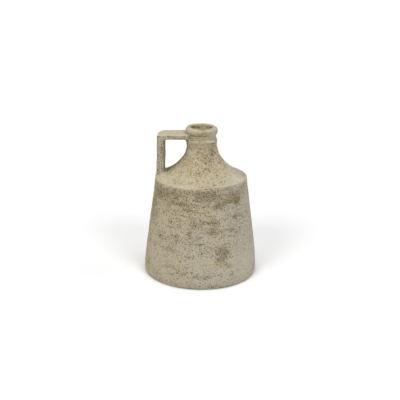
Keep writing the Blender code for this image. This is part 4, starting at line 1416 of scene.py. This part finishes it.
def held_wash_and_shade(bench, on, curled):
    """How much is dark with wash and painted shade, from 0 to 1, and a number that varies from dot to dot."""
    amount = bench.maths("MULTIPLY_ADD", on.relief, RIDGES_TAKE, START_AMOUNT)
    amount = bench.maths("MULTIPLY_ADD", on.wash, WASH_AND_SHADE_ADDS, amount)
    for noise, strength in NOISES_SWING.items():
        amount = bench.swing(getattr(on, noise), strength, amount)
    amount = bench.maths("MULTIPLY_ADD", on.rubbed, RUBBED_AND_LIT_TAKE, amount)
    fine, _ = specks(bench, on.place, FINE_PORE, bench.maths("ADD", amount, FINE_PORES_EARLIER))
    open_pores, shade = specks(bench, on.place, OPEN_PORE, amount)
    strewn = bench.maths("MULTIPLY_ADD", on.rubbed, RUBBED_AND_LIT_TAKE_STRAY, STRAY_START)
    strewn = bench.maths("MULTIPLY_ADD", on.wash, WASH_AND_SHADE_ADDS_STRAY, strewn)
    stray, faded = specks(bench, on.place, STRAY, strewn, STRAY_LARGEST)
    stray = bench.maths("MULTIPLY", stray, bench.ramp(faded, *STRAY_SHOWS))
    puddles = bench.maths("MULTIPLY_ADD", on.rubbed, RUBBED_AND_LIT_TAKE_CURLS, amount)
    curls = dried_rims(bench, on.place, PUDDLE, puddles)
    held = bench.maths("MAXIMUM", bench.maths("MULTIPLY", fine, FINE_PORES_SHOW), open_pores)
    held = bench.maths("MAXIMUM", bench.maths("MULTIPLY", curls, curled), held)
    return bench.maths("MAXIMUM", stray, held), shade


print("Pores of", round(FINE_PORE / MM, 1), "and", round(OPEN_PORE / MM, 1), "mm hold the wash")

# %% [markdown]
# ## The whole finish
# The wash and its painted shade go over the body, near-black floors go into the pits, and worn high places
# and painted highlights come out pale on top of all. The same masks drive the bump and the roughness, so a
# dark dot is also a small dent, and duller.
# Such small dents could be modelled, but a bump in the shading is enough for what is under half a millimetre.

# %% The fired clay material
# Colours of the dots of wash, which also carry the painted shade laid in with the wash.
BROWN_WASH_AND_SHADE = (0.125, 0.088, 0.048)
OLIVE_WASH_AND_SHADE = (0.160, 0.124, 0.062)
PIT_FLOOR = (0.080, 0.060, 0.034)
WASH_AND_SHADE_COVERS, PITS_COVER, WORN_AND_LIT_COVERS = 0.95, (0.1, 0.8, 0.0, 0.9), (0.15, 0.85, 0.0, 0.70)
RIDGES_WORN, RUBBED_AND_LIT_SHARE, FRECKLES_KEEP = 0.4, 0.55, -1.2
SAND_STANDS, GRAIN_STANDS, WASH_SINKS = 0.5, 0.35, -0.6
BUMP_HEIGHT = 0.45 * MM
BUMP_STRENGTH = 0.8
DULL, DULLER = 0.82, 0.95
FAINT_SHINE = 0.25


def fired_clay(name, cool, curled):
    """Sandy stoneware with wiped brown wash, curled where it dried slowly, pits, worn places, painted light
    and shade.
    """
    bench = Bench(name)
    on = surface_fields(bench)
    held, shade = held_wash_and_shade(bench, on, curled)
    body = clay_colour(bench, on, cool)
    dark = bench.mixed(shade, BROWN_WASH_AND_SHADE, OLIVE_WASH_AND_SHADE)
    body = bench.mixed(bench.maths("MULTIPLY", held, WASH_AND_SHADE_COVERS), body, dark)
    body = bench.mixed(bench.ramp(on.pits, *PITS_COVER), body, PIT_FLOOR)
    # Rubbed places here include painted highlights and painted light.
    worn_and_lit = bench.maths("MULTIPLY", on.rubbed, RUBBED_AND_LIT_SHARE)
    worn_and_lit = bench.maths("MULTIPLY_ADD", on.relief, RIDGES_WORN, worn_and_lit)
    worn_and_lit = bench.swing(on.freckle, FRECKLES_KEEP, worn_and_lit)
    body = bench.mixed(bench.ramp(worn_and_lit, *WORN_AND_LIT_COVERS), body, PALE_WORN_AND_LIT)

    coarse = bench.maths("MULTIPLY", on.grain, GRAIN_STANDS)
    coarse = bench.maths("MULTIPLY_ADD", on.sand, SAND_STANDS, coarse)
    height = bench.maths("MULTIPLY_ADD", held, WASH_SINKS, coarse)
    dents = {"Height": height, "Strength": BUMP_STRENGTH, "Distance": BUMP_HEIGHT}
    bump = bench.node("ShaderNodeBump", dents)
    links = bench.tree.links
    links.new(body, bench.shader.inputs["Base Color"])
    links.new(bench.ramp(held, 0.0, 1.0, DULL, DULLER), bench.shader.inputs["Roughness"])
    links.new(bump.outputs["Normal"], bench.shader.inputs["Normal"])
    bench.shader.inputs["Specular IOR Level"].default_value = FAINT_SHINE
    return bench.material


SLOTS = {
    "floor_slab": "floor_clay", "body_wall": "wall_clay", "shoulder_and_neck": "shoulder_clay",
    "neck_collar": "collar_clay", "lip": "lip_clay", "handle": "handle_clay",
}
COOL_COLOURS = {"handle": MAUVE_SHEEN_CREAM}
FEW_CURLS = 0.2
CURLS = {"floor_slab": 0.45, "body_wall": 0.45, "shoulder_and_neck": 0.12}
for node, piece in SKINS.items():
    clay = fired_clay(SLOTS[node], COOL_COLOURS.get(node, GREY_CREAM), CURLS.get(node, FEW_CURLS))
    piece.data.materials.clear()
    piece.data.materials.append(clay)
print("Finishes:", ", ".join(SLOTS.values()))

# %% [markdown]
# ## Putting the skins in place of the CAD pieces
# Each skin, which already wears the finish named for its node's slot, rides on the pot's one body and hides
# its own CAD node. The CAD solids stay behind for collision and are no longer shown.

# %% Ride and replace
for node, piece in SKINS.items():
    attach(piece, "root")
    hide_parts(node)
print("Skins in place:", ", ".join(piece.name for piece in SKINS.values()))

# %% [markdown]
# ## Floor
# The vase stands on a white sweep. To the camera the floor is nearly white with a faint glow of its own, and
# its real shading is left in it, so that the two soft shadows beside the foot show. Close to the foot, where
# the two touch, an ambient occlusion node paints a contact shadow into it. To the light that bounces it is
# pale grey paint, which is what lifts the shade under the ridge and round the foot.

# %% White floor
FLOOR_SIZE = 40.0
FLOOR_PAINT = (0.70, 0.70, 0.70)
OWN_WHITE = 0.05
CONTACT_REACH = 22 * MM
OPEN_FLOOR = 0.95
CONTACT_SHADOW_FLOOR = 0.60


def white_floor():
    """A large floor that looks white to the camera, keeps the vase's shadow and has a painted contact shadow.
    """
    bpy.ops.mesh.primitive_plane_add(size=FLOOR_SIZE)
    floor = bpy.context.object
    floor.name = "studio_floor"
    bench = Bench("studio_white")
    nodes = bench.tree.nodes
    output = nodes["Material Output"]
    nodes.remove(bench.shader)
    paint = bench.node("ShaderNodeBsdfDiffuse", {"Color": (*FLOOR_PAINT, 1.0)})
    # Ambient occlusion darkens the floor's colour near the foot: a painted contact shadow.
    contact = bench.node("ShaderNodeAmbientOcclusion", {"Distance": CONTACT_REACH}, samples=8)
    shaded = bench.ramp(contact.outputs["AO"], 0, 1, CONTACT_SHADOW_FLOOR, OPEN_FLOOR)
    faint = bench.node("ShaderNodeBsdfDiffuse", {"Color": shaded})
    glow = bench.node("ShaderNodeEmission", {"Color": (1, 1, 1, 1), "Strength": OWN_WHITE})
    shown = bench.node("ShaderNodeAddShader", {0: faint.outputs[0], 1: glow.outputs[0]})
    path = bench.node("ShaderNodeLightPath")
    seen = bench.maths("MAXIMUM", path.outputs["Is Camera Ray"], path.outputs["Is Glossy Ray"])
    seen = bench.maths("MAXIMUM", seen, path.outputs["Is Transmission Ray"])
    either = bench.node("ShaderNodeMixShader", {0: seen, 1: paint.outputs[0], 2: shown.outputs[0]})
    bench.tree.links.new(either.outputs[0], output.inputs["Surface"])
    floor.data.materials.append(bench.material)
    return floor


floor = white_floor()
floor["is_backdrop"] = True
print("Floor", FLOOR_SIZE, "m across")

# %% [markdown]
# ## Light
# The picture shows a bright shoulder, a wall that is darker under the ridge, and two faint shadows that fall
# away behind on either side. That is a big soft light overhead, one on each side of the camera, and a low,
# weak one far out on either side. Sun lamps with a wide angle are used, because they are as soft as big
# boxes and light the floor evenly.

# %% World and lamps
WORLD_LIGHT = 0.13
LAMPS = {
    # name: strength, degrees round from the camera, degrees up, softness in degrees
    "overhead": (1.29, 0, 80, 30),
    "left_of_camera": (1.05, -36, 38, 24),
    "right_of_camera": (0.88, 38, 38, 24),
    "far_left": (0.55, -100, 18, 60),
    "far_right": (0.75, 100, 18, 60),
}


def studio_world():
    """Even white light, which the camera sees as pure white."""
    world = bpy.data.worlds.new("studio_world")
    bpy.context.scene.world = world
    world.use_nodes = True
    tree = world.node_tree
    sky = tree.nodes["Background"]
    sky.inputs["Color"].default_value = (1, 1, 1, 1)
    path = tree.nodes.new("ShaderNodeLightPath")
    seen = path.outputs["Is Camera Ray"]
    for kind in ("Is Glossy Ray", "Is Transmission Ray"):
        either = tree.nodes.new("ShaderNodeMath")
        either.operation = "MAXIMUM"
        tree.links.new(seen, either.inputs[0])
        tree.links.new(path.outputs[kind], either.inputs[1])
        seen = either.outputs[0]
    level = tree.nodes.new("ShaderNodeMapRange")
    level.inputs["To Min"].default_value = WORLD_LIGHT
    level.inputs["To Max"].default_value = 1.0
    tree.links.new(seen, level.inputs["Value"])
    tree.links.new(level.outputs["Result"], sky.inputs["Strength"])


def sun_lamp(name, strength, azimuth, elevation, softness):
    """A soft sun that shines on the vase from a direction."""
    lamp = bpy.data.lights.new(name, "SUN")
    lamp.energy = strength
    lamp.angle = math.radians(softness)
    thing = bpy.data.objects.new(name, lamp)
    turn = Matrix.Rotation(math.radians(azimuth), 4, "Z")
    tip = Matrix.Rotation(math.radians(90 - elevation), 4, "X")
    thing.matrix_world = turn @ tip
    bpy.context.scene.collection.objects.link(thing)


studio_world()
for name, settings in LAMPS.items():
    sun_lamp(name, *settings)
print("Lamps:", ", ".join(LAMPS))

# %% [markdown]
# ## Camera
# The picture looks down on the vase from a metre and a half away. The lens and the place come from lining up
# the foot, the ridge and the mouth with their sizes: how open the ellipses are gives the height of the
# camera, and how much the foot is larger than the mouth gives the distance.

# %% Camera
CAMERA_DISTANCE = 1531.6 * MM
CAMERA_HEIGHT = 674.0 * MM
CAMERA_ASIDE = -2.0 * MM
LOOK_DOWN = 0.3288
CAMERA_ROLL = math.radians(0.54)
CAMERA_ROUND = math.radians(2.04)
LENS, SENSOR = 69.93, 36.0


def photographers_camera():
    """A camera at the picture's viewpoint."""
    data = bpy.data.cameras.new("camera")
    data.lens = LENS
    data.sensor_width = SENSOR
    camera = bpy.data.objects.new("camera", data)
    stand = Matrix.Translation((CAMERA_ASIDE, -CAMERA_DISTANCE, CAMERA_HEIGHT))
    tilt = Matrix.Rotation(math.pi / 2 - LOOK_DOWN, 4, "X")
    walk_round = Matrix.Rotation(CAMERA_ROUND, 4, "Z")
    camera.matrix_world = walk_round @ stand @ tilt @ Matrix.Rotation(CAMERA_ROLL, 4, "Z")
    bpy.context.scene.collection.objects.link(camera)
    bpy.context.scene.camera = camera
    return camera


camera = photographers_camera()
bpy.context.scene.view_settings.view_transform = "Standard"
print("Camera looks down by", round(math.degrees(LOOK_DOWN), 1), "degrees")

# %% [markdown]
# ## Sizes, and done
# The box round the finished skins is printed beside the CAD box. They should differ by a millimetre or two.

# %% Print both boxes and finish
boxes = {"cad": cad_box, "visual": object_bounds()}
boxes = {name: [[float(value) for value in corner] for corner in box] for name, box in boxes.items()}
for name, (low, high) in boxes.items():
    print(name, "box in mm:", [round((b - a) / MM, 1) for a, b in zip(low, high)])
